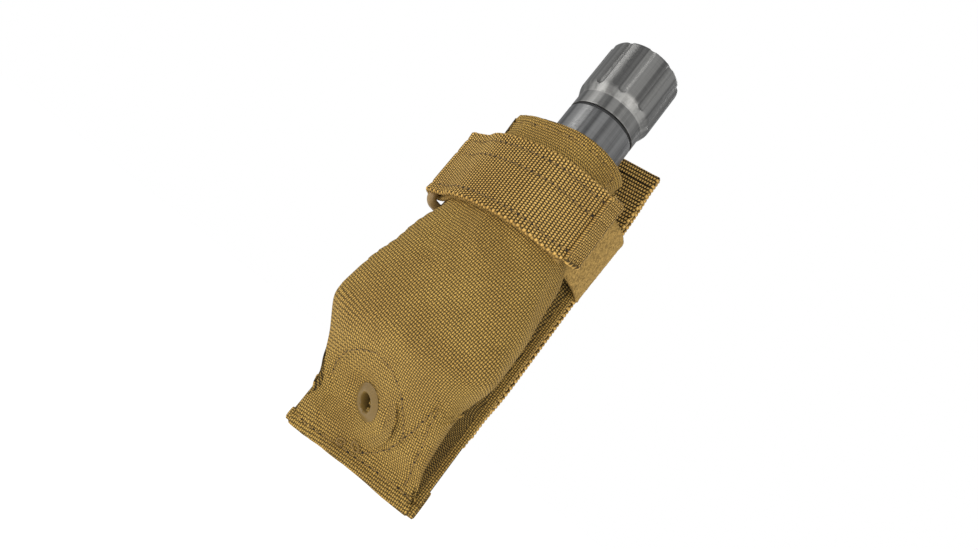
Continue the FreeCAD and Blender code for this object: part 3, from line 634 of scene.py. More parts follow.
def lathe(profile, centre=(0, 0, 0), segments=160, shape=None):
    """A closed outline of (radius, height) turned about a vertical axis through a centre."""
    profile = np.asarray(profile, float)
    angles = np.linspace(0, 2 * math.pi, segments, endpoint=False)
    radius = np.repeat(profile[:, :1], segments, axis=1)
    height = np.repeat(profile[:, 1:], segments, axis=1)
    if shape is not None:
        radius = shape(radius, height, angles[None, :])
    points = np.stack([radius * np.sin(angles), -radius * np.cos(angles), height], axis=-1)
    rings = len(profile)
    index = np.arange(rings * segments).reshape(rings, segments)
    following = np.roll(index, -1, axis=0)
    quads = np.stack([index, np.roll(index, -1, axis=1), np.roll(following, -1, axis=1), following], axis=-1)
    return points.reshape(-1, 3) + np.asarray(centre), [tuple(quad) for quad in quads.reshape(-1, 4).tolist()]


def outline_with_rounds(corners, default=0.25, steps=4):
    """A closed outline with its corners rounded: each corner is (radius, height[, rounding])."""
    count = len(corners)
    places = [np.array(corner[:2], float) for corner in corners]
    line = []
    for index in range(count):
        rounding = corners[index][2] if len(corners[index]) > 2 else default
        here, before, after = places[index], places[index - 1], places[(index + 1) % count]
        to_before, to_after = before - here, after - here
        reach = min(rounding, np.linalg.norm(to_before) * 0.45, np.linalg.norm(to_after) * 0.45)
        start = here + to_before / max(np.linalg.norm(to_before), 1e-9) * reach
        end = here + to_after / max(np.linalg.norm(to_after), 1e-9) * reach
        for part in np.linspace(0, 1, steps + 1):
            line.append((1 - part) ** 2 * start + 2 * part * (1 - part) * here + part ** 2 * end)
    return np.array(line)


# ---- the front of the pouch


# Levels of the front: height, reach to the left and right of the light's axis, depth of the front,
# depth of the left and right corners, and how square it is to the left and to the right of the axis
# (1 is a straight line from the corner, 2 an ellipse, and more is squarer).
FRONT_LEVELS = np.array([
    (FOOT, 26.2, 23.0, 2.5, 1.6, 1.8, 6.0, 6.0),
    (5.2, 27.8, 21.9, 3.6, 2.2, 3.0, 6.0, 6.0),
    (12.0, 26.6, 20.4, 7.9, 4.8, 6.0, 4.4, 4.6),
    (20.0, 29.0, 20.6, 13.2, 8.4, 10.4, 4.2, 4.4),
    (28.0, 30.0, 21.4, 21.6, 13.4, 15.4, 4.2, 4.2),
    (33.0, 31.5, 22.6, 27.0, 16.5, 17.4, 4.4, 4.1),
    (37.0, 32.7, 23.6, 30.6, 19.0, 18.0, 4.6, 4.0),
    (42.0, 32.4, 25.2, 31.4, 19.8, 18.0, 4.6, 3.8),
    (48.0, 31.1, 25.4, 32.0, 20.0, 18.0, 4.6, 3.6),
    (60.0, 28.4, 25.2, 32.2, 18.5, 18.0, 4.0, 3.2),
    (70.0, 26.9, 23.8, 31.6, 17.5, 17.5, 3.0, 3.0),
    (80.0, 25.3, 22.8, 31.0, 17.5, 16.5, 2.0, 2.6),
    (87.0, 24.8, 20.4, 30.4, 18.3, 15.5, 1.5, 2.2),
    (100.0, 24.7, 17.4, 30.3, 19.0, 14.5, 1.38, 2.0),
    (112.0, 24.5, 17.0, 30.2, 19.4, 14.0, 1.35, 2.0),
    (PANEL_TOP, 24.3, 17.2, 30.2, 19.6, 13.6, 1.35, 2.0),
])
BACK_SEAM_X = WEB_HALF - 0.8
BACK_SEAM_Y = -0.5
GUSSET_PART = 0.17
GUSSET_TOP = 103.0
LEVEL_EVENNESS = 10
# The bottom edge isn't quite square: it rises towards the right.
HEM_SLOPE = 0.034
# The slope at the bottom leans to the left about the eyelet: by how much at which heights.
LEAN = ((5.5, 12.0, 22.5, 30.0, 37.0), (0.0, 0.46, 0.46, 0.15, 0.0))
LEAN_REACH = 8.0


def level_numbers(height):
    """The seven numbers of the levels at each height, evened out so that no level shows."""
    fine = np.linspace(FOOT, PANEL_TOP, 160)
    found = []
    for column in range(1, FRONT_LEVELS.shape[1]):
        values = softened(np.interp(fine, FRONT_LEVELS[:, 0], FRONT_LEVELS[:, column]), LEVEL_EVENNESS)
        found.append(np.interp(height, fine, values))
    return found


def front_outline(height, parts):
    """The outer line of the pouch at a height; parts run from the left back seam to the right one."""
    left, right, depth, corner_left, corner_right, square_left, square_right = level_numbers(height)
    lean = LEAN_REACH * np.interp(height, *LEAN)
    points = np.zeros((len(parts), 2))
    for index, part in enumerate(parts):
        if part < GUSSET_PART or part > 1 - GUSSET_PART:
            side = -1 if part < 0.5 else 1
            run = (part if side < 0 else 1 - part) / GUSSET_PART
            corner_x = LIGHT_X + side * (left if side < 0 else right)
            corner_y = -(corner_left if side < 0 else corner_right)
            back_x = side * BACK_SEAM_X
            tuck = -side * 4.8 * math.sin(math.pi * run) ** 0.7 * min(1.0, -corner_y / 12.0)
            x = back_x + (corner_x - back_x) * run + tuck
            points[index] = (x, BACK_SEAM_Y + (corner_y - BACK_SEAM_Y) * run)
        else:
            angle = math.pi * ((part - GUSSET_PART) / (1 - 2 * GUSSET_PART) - 0.5)
            side = -1 if angle < 0 else 1
            square = square_left if side < 0 else square_right
            reach = left if side < 0 else right
            corner = corner_left if side < 0 else corner_right
            across = abs(math.sin(angle)) ** (2 / square) * reach
            x = LIGHT_X + side * across
            leaning = lean * math.tanh((x - EYELET[0]) / LEAN_REACH)
            forward = max(math.cos(angle), 0.0) ** (2 / square) * (depth - corner + leaning)
            points[index] = (x, -corner - forward)
    return points


def crease(cloth, start, end, depth, width):
    """A fold in the cloth along a line between two places (parts), fading out at both ends."""
    path = cloth.path([start, end], 40)
    points, _ = cloth.at(path)
    offset = cloth.grid[:, :, None, :] - points[None, None, ::4, :]
    away = np.sqrt((offset ** 2).sum(axis=3))
    nearest = away.min(axis=2)
    fade = np.sin(math.pi * np.clip(away.argmin(axis=2) / (len(points[::4]) - 1), 0.02, 0.98)) ** 0.6
    return depth * fade * np.exp(-(nearest / width) ** 2)


def part_of(z):
    """A height as a part of the sheet's whole height."""
    return (z - FOOT) / (PANEL_TOP - FOOT)


def turned_weave(uvs, heights):
    """Turns the weave as the cloth lies: askew over the light, nearly square at the bottom and top."""
    turn = np.radians(np.interp(heights, (22, 40, 100, 116), (-4.0, 9.5, 9.5, 3.0)))
    across, up = uvs[:, 0], uvs[:, 1] - 36.0
    cos, sin = np.cos(turn), np.sin(turn)
    return np.stack([across * cos - up * sin, across * sin + up * cos], axis=1)


def front_grid(parts, count_up):
    """The sheet before any fold or seam: a line of points up it for each part across it."""
    dense = np.linspace(0, 1, 700)
    levels = np.linspace(FOOT, PANEL_TOP, 260)
    table = []
    for height in levels:
        line = softened(front_outline(height, dense), 12)
        table.append(np.stack([np.interp(parts, dense, line[:, axis]) for axis in (0, 1)], axis=1))
    table = np.array(table)
    in_front = (parts >= GUSSET_PART) & (parts <= 1 - GUSSET_PART)
    grid = np.zeros((len(parts), count_up, 3))
    for index, top in enumerate(np.where(in_front, PANEL_TOP, GUSSET_TOP)):
        z = np.linspace(FOOT, top, count_up)
        for axis in (0, 1):
            grid[index, :, axis] = np.interp(z, levels, table[:, index, axis])
        grid[index, :, 2] = z
    skew = np.clip((12.0 - grid[..., 2]) / 15.0, 0, 1)
    grid[..., 2] += skew * (grid[..., 0] * HEM_SLOPE + 0.35)
    middle = np.clip(1 - np.abs(grid[..., 0] + 1.0) / 17.0, 0, 1)
    foot = np.clip((2.5 - grid[..., 2]) / 5.5, 0, 1)
    grid[..., 2] += foot * softened(middle, 6)
    grid[..., 1] -= 0.9 * foot * middle
    return grid


# Folds of the front: the parts across and up where each starts and ends, how far it stands out or
# in, and its width.
FRONT_FOLDS = [
    ((0.33, 0.70), (0.45, 0.50), -1.2, 3.4), ((0.40, 0.72), (0.52, 0.56), 0.9, 3.0),
    ((0.25, 0.70), (0.24, 0.42), 1.2, 4.0), ((0.46, 0.71), (0.60, 0.60), -0.8, 3.0),
    ((0.72, 0.71), (0.80, 0.52), -0.8, 3.0), ((0.62, 0.33), (0.80, 0.24), -1.7, 5.5),
    ((0.30, 0.38), (0.50, 0.30), -0.8, 5.0), ((0.66, 0.44), (0.79, 0.36), 0.9, 4.5),
    ((0.20, 0.46), (0.30, 0.58), -0.8, 3.4), ((0.245, 0.76), (0.30, 1.0), 1.0, 2.6),
]
# Seams of the front, each as the X and Z that it passes through: the hem, the tongue's edge, the
# patch behind the eyelet, the left dart (which has no stitches outside) and the right dart's two.
LEFT_DART = 3
FRONT_SEAMS = [
    ([(-23.9, 0.2), (-17, -0.5), (-9, -0.1), (0, 0.8), (8, 1.6), (16, 1.8), (24.0, 1.6)],
     dict(depth=0.6, width=0.8)),
    ([(-22.2, 92), (-22.2, PANEL_TOP - 3.0), (17.4, PANEL_TOP - 2.7), (18.2, 100)],
     dict(depth=0.3, width=0.7)),
    ([(-21.1, 15.9), (-21.3, 20.9), (-18.9, 25.0), (-13.4, 28.4), (-6.5, 30.5), (-0.4, 29.4), (3.9, 26.8),
      (8.4, 22.3), (11.8, 17.5), (12.5, 14.5)], dict(depth=0.28, width=0.7, pucker=0.05)),
    ([(-21.3, 16.9), (-17.8, 9.1), (-15.6, 2.0)], dict(depth=0.45, width=0.9)),
    ([(18.3, 29.5), (16.6, 25.0), (14.8, 19.5), (13.3, 16.4), (11.8, 12.9), (7.7, 7.9), (4.4, 4.8),
      (-0.1, 2.1)], dict(depth=0.6, width=0.9)),
    ([(18.2, 28.0), (18.4, 21.7), (19.1, 18.2), (19.4, 12.8), (19.5, 6.9), (19.2, 3.3)],
     dict(depth=0.6, width=0.9)),
]


def parts_at(cloth, parts, places):
    """The parts across and up the front's sheet where it passes through each X and Z."""
    count_across, count_up = cloth.grid.shape[:2]
    front = slice(int(GUSSET_PART * count_across) + 1, int((1 - GUSSET_PART) * count_across))
    found = []
    for x, z in places:
        level = int(round(part_of(z) * (count_up - 1)))
        found.append((float(np.interp(x, cloth.grid[front, level, 0], parts[front])), part_of(z)))
    return found


def flatten_at_eyelet(cloth):
    """Presses the cloth flat under the eyelet's flange; gives back where its hole is cut."""
    offset = cloth.grid - EYELET
    depth = offset @ EYELET_AXIS
    reach = np.linalg.norm(offset - depth[..., None] * EYELET_AXIS, axis=2)
    in_front = np.abs(depth) < 6
    near = np.clip((11.0 - reach) / 4.0, 0, 1) * in_front
    near = near * near * (3 - 2 * near)
    cloth.grid -= (depth * near)[..., None] * EYELET_AXIS
    cloth.refresh()
    cloth.raise_by(-0.35 * np.exp(-((reach - FLANGE_RADIUS) / 0.9) ** 2) * in_front)
    return (reach < 4.2) & in_front


def make_loose_thread(cloth, parts, materials):
    """Two loops of thread left standing on the cloth above the hem."""
    loops = []
    for x, z, wide, high, turn in ((-5.6, 2.0, 1.5, 1.1, 0.4), (-0.6, 3.4, 1.6, 1.4, -0.5)):
        angles = np.linspace(-0.8, 5.2, 26)
        flat = [(x + wide * math.cos(a) + 0.4 * a / 5, z + high * math.sin(a + turn) + 0.3) for a in angles]
        places, normals = cloth.at(np.array(parts_at(cloth, parts, flat)))
        lift = 0.25 + 0.5 * np.sin(np.linspace(0, math.pi, len(angles)))
        loops.append(strand(places + normals * lift[:, None], 0.2))
    points, faces = joined(loops)
    loose = mesh_piece("loose_thread", points, faces, materials["thread"], "pouch")


def make_front(materials):
    """The front of the pouch with its side gussets and the tongue, as one sheet of nylon."""
    count_across, count_up = 230, 300
    parts = np.linspace(0, 1, count_across)
    cloth = Cloth(front_grid(parts, count_up))
    for start, end, depth, width in FRONT_FOLDS:
        cloth.raise_by(crease(cloth, start, end, depth, width))
    paths = []
    for places, looks in FRONT_SEAMS:
        paths.append(cloth.path(parts_at(cloth, parts, places), 14))
        cloth.sew(paths[-1], **looks)
    stitched = paths[:LEFT_DART] + paths[LEFT_DART + 1:]
    hem = 0.42 * np.clip((0.4 - cloth.grid[..., 2]) / 0.5, 0, 1)
    hem += 0.4 * (cloth.grid[..., 2] > PANEL_TOP - 2.5)
    cloth.raise_by(softened(softened(hem, 1, 0), 1, 1))
    hole = flatten_at_eyelet(cloth)

    # The weave's rows keep level across the sheet, as at its middle.
    cloth.up[:] = cloth.up[count_across // 2]
    points, faces, uvs = cloth.solid(0.95, hole)
    uvs = turned_weave(uvs, points[:, 2])
    front = mesh_piece("front_cloth", points, faces, materials["cloth"], "pouch", uvs)
    # The gusset faces take the darker copy of the cloth: painted shade where the sides tuck in.
    front.data.materials.append(materials["gusset"])
    face_parts = parts[[min(face) % (count_across * count_up) // count_up for face in faces]]
    in_shaded_gusset = (face_parts < GUSSET_PART) | (face_parts > 1 - GUSSET_PART)
    front.data.polygons.foreach_set("material_index", in_shaded_gusset.astype(int))
    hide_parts("front_panel", "gusset_left", "gusset_right")
    sew_thread("front", [cloth.at(path) for path in stitched], materials, "pouch")
    make_loose_thread(cloth, parts, materials)


# ---- bands of webbing and tape


def band(line, width_line, thickness, rib=0.0, rib_pitch=RIB, edge_bead=0.0, nap=0.0, rows=26, deep=None,
         pressed=(), drop=None, folded=0.0):
    """A band of even thickness: a line of points, and the way its width lies (a vector).

    deep gives the stretch, as parts of the length, where the ribs stand out most; pressed lists the
    rows of stitches, as parts of the width, that draw the ribs in; drop moves the grid; folded is
    the length at the far end that is turned under and stands prouder, with its ribs pressed flat."""
    line = np.asarray(line, float)
    width_line = np.asarray(width_line, float)
    reach = lengths_along(line)
    parts = np.linspace(0, 1, rows)
    spread = np.concatenate([[0, 0.012], parts[1:-1] * 0.976 + 0.012, [0.988, 1]])
    grid = line[:, None, :] + width_line[None, None, :] * spread[None, :, None]
    if drop:
        drop(grid)
    normal = normals_of(grid)
    wave = np.sin(math.pi * ((reach / rib_pitch) % 1.0)) ** 0.7
    width = np.linalg.norm(width_line)
    strength = np.full(len(line), 1.0)
    if deep:
        part = reach / reach[-1]
        strength = np.clip((part - deep[0]) / 0.08, 0, 1) * np.clip((deep[1] - part) / 0.12, 0, 1)
        strength = 0.3 + 0.7 * strength
    left_over = reach[-1] - reach
    if folded:
        strength *= 1 - 0.85 * np.clip(folded - left_over, 0, 1)
    lift = rib * strength[:, None] * (wave[:, None] - 1.0) * np.ones((1, len(spread)))
    if folded:
        ridge = 0.8 * np.clip((folded - left_over) / 0.7, 0, 1)
        groove = 0.7 * np.exp(-((left_over - folded - 0.5) / 0.6) ** 2)
        lift += (ridge - groove)[:, None]
    for row in pressed:
        lift -= 0.28 * np.exp(-((spread - row) * width / 0.55) ** 2)[None, :]
    if nap:
        lift = lift + rng.normal(0, nap, lift.shape)
    if edge_bead:
        near = np.exp(-((np.minimum(spread, 1 - spread) * width) / 0.9) ** 2)
        lift = lift + near[None, :] * edge_bead * (wave[:, None] - 0.3)
        push = np.where(spread < 0.5, -1, 1) * near
        push = push[None, :] * (wave[:, None] - 0.6) * 1.1
        grid = grid + width_line[None, None, :] / width * push[..., None]
    front = grid + normal * (thickness / 2 + lift)[..., None]
    back = grid - normal * (thickness / 2 + np.minimum(lift, 0.1))[..., None]
    across = np.repeat(reach[:, None], len(spread), axis=1)
    up = np.repeat((spread * width)[None, :], len(line), axis=0)
    return grid, normal, slab(front, back, across, up)


def flat_line(points, count):
    """A smooth line at the strap's lower edge through places seen from above."""
    line = curve_through(points, count)
    return np.concatenate([line, np.full((count, 1), STRAP_LOW)], axis=1)


def beside(points, distance):
    """The line that far to the right-hand side of a line seen from above."""
    points = np.asarray(points, float)
    along = unit(np.gradient(points, axis=0))
    return points + np.stack([along[:, 1], -along[:, 0]], axis=1) * distance


def over_front(lift, low_part, high_part, count=10):
    """Places over the front of the pouch under the strap, that far off the cloth."""
    parts = np.linspace(0, 1, 700)
    highest = softened(front_outline(STRAP_LOW + 2.0, parts), 26)
    middle = softened(front_outline(STRAP_MIDDLE, parts), 26)
    axis = (LIGHT_X, LIGHT_Y)
    outward = np.linalg.norm(highest - axis, axis=1) > np.linalg.norm(middle - axis, axis=1)
    line = np.where(outward[:, None], highest, middle)
    line = beside(line, lift)
    wanted = np.linspace(low_part, high_part, count)
    return np.stack([np.interp(wanted, parts, line[:, axis]) for axis in (0, 1)], axis=1)


STRAP_UP = np.array([0.0, 0.0, 1.0])


STRAP_TALL = STRAP_HIGH - STRAP_LOW
# The rows of stitches along the flap, as parts of its width, and across it, as parts of its length.
FLAP_ROWS = (2.5 / STRAP_TALL, 0.66, 1 - 2.7 / STRAP_TALL)
FLAP_ENDS = (0.125, 0.955)
TURNED_UNDER = 4.6


def make_base_tape(materials):
    """The napped base tape, from the ring round the front and the right-hand edge to the back."""
    behind = WEB_THICK + 1.0
    base = [(-32.4, -10.3), (-30.6, -10.4), (-28.2, -12.6), (-25.6, -16.2)]
    base += [tuple(point) for point in over_front(0.9, 0.235, 0.70, 12)]
    base += [(20.9, -18.8), (24.5, -12.8), (26.8, -6.4), (27.7, 0.0)]
    base += [(26.4, behind), (22.0, behind), (17.0, behind)]

    def flared(grid):
        """The tape stands out farther at the top where it goes round the right-hand edge."""
        at_edge = np.clip((grid[..., 0] - 22.0) / 5.0, 0, 1)
        grid[..., 0] += at_edge * (grid[..., 2] - STRAP_LOW) / STRAP_TALL

    _, _, (points, faces, uvs) = band(flat_line(base, 300), STRAP_UP * STRAP_TALL, 1.2, nap=0.05,
                                      edge_bead=0.24, rib_pitch=1.0, rows=70, drop=flared)
    tape = mesh_piece("strap_base_tape", points, faces, materials["nap"], "pouch", uvs)
    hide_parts("strap_base")


def make_flap(materials):
    """The ribbed flap: folded round the ring's outer bar, then laid over the base tape."""
    bar = RING_BAR[:2]
    fold = 2.45
    angles = np.radians(np.linspace(115, 262, 8))
    turn = [(bar[0] + fold * math.cos(a), bar[1] + fold * math.sin(a)) for a in angles]
    run = [(-29.6, -17.2), (-25.8, -19.8)] + [tuple(point) for point in over_front(3.0, 0.25, 0.55, 8)]
    run += [(16.8, -29.3), (21.6, -27.2), (26.0, -24.3)]
    line = flat_line(turn + run, 900)
    low, inner, high = FLAP_ROWS

    def lifted(grid):
        """The free end's lower corner curls up a little."""
        end = np.clip((grid[..., 0] - 15.0) / 11.0, 0, 1)
        grid[..., 2] += 1.9 * end ** 1.5 * (1 - (grid[..., 2] - STRAP_LOW) / STRAP_TALL)

    grid, normal, (points, faces, uvs) = band(
        line, STRAP_UP * STRAP_TALL, 1.5, rib=0.42, edge_bead=0.3, rows=90, deep=(0.30, 0.72),
        pressed=(low, high, inner), folded=TURNED_UNDER, drop=lifted)
    web = mesh_piece("strap_flap_webbing", points, faces, materials["webbing"], None, uvs)
    web.data.materials.append(materials["webbing_end"])
    in_end = uvs[[face[0] for face in faces], 0] > uvs[:, 0].max() - TURNED_UNDER
    web.data.polygons.foreach_set("material_index", in_end.astype(int))
    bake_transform(web)
    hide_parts("strap_flap")

    sheet = Cloth(grid + normal * 0.5)
    first, last = FLAP_ENDS
    runs = [[(first, low), (first, high)], [(first, high), (last, high)], [(last, high), (last, low)],
            [(last, low), (first, low)], [(first, inner), (last, inner)]]
    lines = [sheet.at(sheet.path(places, 200)) for places in runs]
    sew_thread("strap", lines, materials, "strap_flap", "webbing", pitch=2.6, length=2.1, radius=0.22)

    hooks = line[180:-12].copy()
    hooks[:, :2] = beside(hooks[:, :2], -1.2)
    hooks[:, 2] += 1.2
    _, _, (points, faces, uvs) = band(hooks, STRAP_UP * (STRAP_TALL - 2.4), 0.7, nap=0.03, rows=50)
    piece = mesh_piece("hook_face", points, faces, materials["hooks"], "strap_flap", uvs)
    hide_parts("hook_tape")


def make_back(materials):
    """The back webbing, folded over at the top, and the belt loop layer that stands off behind it."""
    half = WEB_HALF
    wide = np.array([-2 * half - 0.4, 0.0, 0.0])
    top = POUCH_HEIGHT
    middle = WEB_THICK / 2
    rear = LOOP_REAR - WEB_THICK / 2

    def line_in_profile(places, count):
        line = curve_through(places, count)
        return np.stack([np.full(count, half), line[:, 0], line[:, 1]], axis=1)

    def sag(grid):
        """The left top corner hangs a little lower than the right one."""
        up = np.clip((grid[..., 2] - 95.0) / 45.0, 0, 1)
        left = np.clip((12.0 - grid[..., 0]) / 38.0, 0, 1)
        grid[..., 2] -= 3.0 * up * left ** 1.2
        right = np.clip(grid[..., 0] / half, 0, 1)
        grid[..., 2] += 0.5 * up * right
        grid[..., 0] += 0.45 * right * np.clip((100.0 - grid[..., 2]) / 10.0, 0, 1)

    def layer(name, node, line):
        """One layer of the webbing as a piece; gives back its middle surface and normals."""
        grid, normal, (points, faces, uvs) = band(line, wide, WEB_THICK - 0.5, rib=0.45, rib_pitch=BACK_RIB,
                                                  edge_bead=0.5, rows=44, drop=sag)
        web = mesh_piece(name, points, faces, materials["webbing_rows"], "pouch", uvs)
        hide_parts(node)
        return grid, normal

    front = line_in_profile([(middle, WEB_LOW), (middle, 60.0), (middle, 100.0), (middle, top - 1.9)], 700)
    grid, normal = layer("back_webbing_ribs", "back_webbing", front)
    face = Cloth(grid + normal * 0.35)

    loop = line_in_profile([
        (middle + WEB_THICK + 0.1, LOOP_LOW), (middle + WEB_THICK + 0.1, LOOP_LOW + 7),
        (rear - 1.2, LOOP_LOW + 15), (rear, LOOP_LOW + 24), (rear, 84.0), (rear, top - 26),
        (rear - 1.2, top - 15), (middle + WEB_THICK, top - 7), (middle + WEB_THICK - 0.3, top - 1.9),
        (middle + 0.4, top - 0.75), (middle - 0.75, top - 1.5), (middle - 1.0, top - 5.4),
    ], 900)
    grid, normal = layer("belt_loop_ribs", "belt_loop", loop)
    rear_face = Cloth(grid - normal * 0.4)

    def on(sheet, corners, flip):
        """A line of stitches between corners given as X and Z."""
        reach = sheet.grid[:, sheet.grid.shape[1] // 2, :]
        places = []
        for x, z in corners:
            nearest = np.argmin(np.abs(reach[:, 2] - z))
            places.append((nearest / (len(reach) - 1), (half - x) / (2 * half)))
        points, normals = sheet.at(sheet.path(places, 120))
        return points, -normals if flip else normals

    edge = half - 3.0
    crossed = ([(-edge, 133.4), (edge, 133.4)], [(8, 119), (22, 131)], [(8, 131), (22, 119)])
    lines = [on(face, corners, False) for corners in crossed]
    for low, high in ((LOOP_LOW + 1.5, LOOP_LOW + 7.5), (top - 8.0, top - 2.6)):
        box = [(-edge, low), (edge, low), (edge, high), (-edge, high), (-edge, low)]
        lines += [on(rear_face, corners, True) for corners in (box, [(-edge, low), (0, high), (edge, low)])]
    sew_thread("back", lines, materials, "pouch", "webbing")


def make_back_cloth(materials):
    """The nylon behind the light, whose bottom edge is folded to a hem under the front's."""
    half = WEB_HALF + 1.0
    count_across, count_up = 90, 160
    x = np.linspace(-half, half, count_across)
    z = np.linspace(FOOT + 0.4, pouch_mm(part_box("back_cloth")[1])[2], count_up)
    grid = np.zeros((count_across, count_up, 3))
    grid[..., 0] = x[:, None]
    grid[..., 1] = -0.72
    grid[..., 2] = z[None, :] + np.clip((8.0 - z) / 11.0, 0, 1)[None, :] * (x[:, None] * HEM_SLOPE + 0.35)
    cloth = Cloth(grid)
    points, faces, uvs = cloth.solid(0.9)
    piece = mesh_piece("back_lining", points, faces, materials["lining"], "pouch", uvs)
    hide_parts("back_cloth")

    def skew(grid):
        grid[..., 2] += grid[..., 0] * HEM_SLOPE + 0.3 + 0.25 * np.sin(grid[..., 0] * 0.21)

    places = [(0.7, 6.0), (1.25, 3.0), (1.3, 0.0), (1.0, FOOT + 0.9), (0.15, FOOT + 0.35),
              (-0.75, FOOT + 0.8), (-1.05, FOOT + 2.2), (-0.95, FOOT + 4.2)]
    line = curve_through(places, 70)
    line = np.stack([np.full(70, half + 0.5), line[:, 0], line[:, 1]], axis=1)
    _, _, (points, faces, uvs) = band(line, np.array([-2 * half - 1.0, 0, 0]), 0.8, rows=120, drop=skew)
    piece = mesh_piece("bottom_hem_fold", points, faces, materials["cloth"], "pouch", uvs)
    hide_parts("bottom_hem")


def make_keeper(materials):
    """The tab that holds the ring's inner bar to the side of the pouch."""
    low = pouch_mm(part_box("ring_keeper")[0])
    high = pouch_mm(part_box("ring_keeper")[1])
    bar = (-27.6, -7.6)
    angles = np.radians(np.linspace(40, -200, 9))
    line = [(-25.6, -1.2), (-25.2, -3.4)]
    line += [(bar[0] + 2.75 * math.cos(a), bar[1] + 2.75 * math.sin(a)) for a in angles]
    line = curve_through(line, 160)
    line = np.concatenate([line, np.full((160, 1), low[2])], axis=1)
    _, _, (points, faces, uvs) = band(line, STRAP_UP * (high[2] - low[2]), 0.9, rib=0.25, edge_bead=0.15,
                                      rows=30)
    tab = mesh_piece("ring_keeper_tab", points, faces, materials["webbing"], "pouch", uvs)
    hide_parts("ring_keeper")


def make_eyelet(materials):
    """The rolled eyelet: a domed flange outside, a barrel through the cloth and a washer inside."""
    turn = np.array(Vector(EYELET_AXIS).to_track_quat("Z", "Y").to_matrix()).T
    hole = MOUNTS["drain_eyelet"]["dims"]["r_mm"] - 0.3
    section = [(hole, -3.3), (hole + 0.02, -0.6), (hole + 0.2, 0.55), (hole + 0.75, 1.0), (hole + 1.4, 0.95),
               (hole + 2.2, 0.62), (hole + 2.9, 0.25), (6.25, 0.0), (5.9, -0.12), (hole + 1.4, -0.1),
               (hole + 0.6, -0.9), (hole + 0.55, -3.3)]
    washer = [(hole + 0.6, -1.5), (5.6, -1.5), (6.2, -1.75), (6.2, -2.0), (5.2, -2.35), (hole + 0.6, -2.45)]
    rolled = [("eyelet_rolled", section, "grommet"), ("eyelet_washer", washer, "grommet_washer")]
    for name, outline, node in rolled:
        smooth = outline_with_rounds([(radius, height, 0.3) for radius, height in outline])
        points, faces = lathe(smooth, segments=96)
        piece = mesh_piece(name, points @ turn + EYELET, faces, materials["eyelet"], "pouch")
        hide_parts(node)
    radii = np.linspace(4.4, PATCH_RADIUS, 22)
    rings = [(radius, -1.42 + 0.03 * math.sin(3 * radius)) for radius in radii]
    outer = [(radius, height + 0.35) for radius, height in rings]
    points, faces = lathe(rings + outer[::-1], segments=64)
    uvs = points[:, :2]
    patch = mesh_piece("eyelet_patch", points @ turn + EYELET, faces, materials["lining"], "pouch", uvs)
    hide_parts("grommet_patch")


# ---- the light


FLUTES = 10
FLUTE_PHASE = math.radians(-27.0)


def fluted(radius, height, angles):
    """Cuts ten round-ended flutes into the outside of the tail cap."""
    cutter, out = 2.0, 1.15
    spacing = 2 * math.pi / FLUTES
    offset = (angles - FLUTE_PHASE + spacing / 2) % spacing - spacing / 2
    centre = CAP_RADIUS + out
    start = CAP_LOW + 8.9
    below = np.clip(start - height, 0, cutter)
    reach = np.sqrt(np.maximum(cutter ** 2 - below ** 2, 0))
    inside = reach ** 2 - (centre * np.sin(offset)) ** 2
    wall = centre * np.cos(offset) - np.sqrt(np.maximum(inside, 0))
    cut = (inside > 0) & (radius > CAP_RADIUS - 1.45) & (height > start - cutter)
    return np.where(cut, np.minimum(radius, wall), radius)


def make_tail_cap(materials):
    low, top = CAP_LOW, LIGHT_TOP
    neck, outer = BODY_RADIUS, CAP_RADIUS
    corners = [
        (11.3, low, 0.2), (neck, low, 0.15), (neck, low + 5.1, 0.12), (neck + 0.25, low + 5.5, 0.3),
        (outer, low + 8.3, 0.7), (outer, top, 0.9), (10.7, top, 0.3), (9.1, top - 1.7, 0.2),
        (9.1, top - 3.3, 0.2), (11.3, top - 3.3, 0.2),
    ]
    outline = outline_with_rounds(corners, steps=5)
    dense = [outline[0]]
    for start, end in zip(outline, np.roll(outline, -1, axis=0)):
        length = np.linalg.norm(end - start)
        on_outside = min(start[0], end[0]) > neck - 0.01
        cuts = max(1, int(length / (0.35 if on_outside else 2.0)))
        dense += [start + (end - start) * part for part in np.linspace(0, 1, cuts + 1)[1:]]
    points, faces = lathe(np.array(dense[:-1]), (LIGHT_X, LIGHT_Y, 0), segments=480, shape=fluted)
    cap = mesh_piece("tail_cap_fluted", points, faces, materials["anodised"], "tail")
    cap.data.set_sharp_from_angle(angle=math.radians(24))
    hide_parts("tail_cap")


def make_light(materials):
    make_tail_cap(materials)
    axis = (LIGHT_X, LIGHT_Y, 0)
    tube_low = pouch_mm(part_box("body_tube")[0])[2]
    shoulder = tube_low + 8.0
    seam = pouch_mm(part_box("tail_seal")[0])[2] - 0.1
    end = pouch_mm(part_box("body_tube")[1])[2]
    outline = outline_with_rounds([
        (8.9, tube_low), (11.1, tube_low), (11.1, shoulder), (BODY_RADIUS, shoulder, 0.3),
        (BODY_RADIUS, seam, 0.15), (11.1, seam), (11.1, end), (8.9, end),
    ])
    points, faces = lathe(outline, axis)
    tube = mesh_piece("body_tube_turned", points, faces, materials["anodised_body"], "light")
    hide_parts("body_tube")
    looks = {
        "anodised_body": ("bezel_ring", "head_shell"),
        "rubber": ("lens_gasket", "head_seal", "tail_seal", "switch_boot"),
        "glass": ("lens",),
        "mirror": ("reflector",),
        "board": ("led_board", "driver_board", "switch_board"),
        "phosphor": ("led_emitter",),
        "bare": ("heat_sink",),
        "steel": ("driver_spring", "contact_spring"),
        "wrap": ("front_cell", "rear_cell"),
        "brass": ("switch_retainer",),
        "plastic": ("switch_case", "switch_plunger"),
        "ring": ("strap_ring",),
    }
    for look, names in looks.items():
        for name in names:
            mesh = frame["nodes"][name].data
            mesh.materials.clear()
            mesh.materials.append(materials[look])


# ---- stage


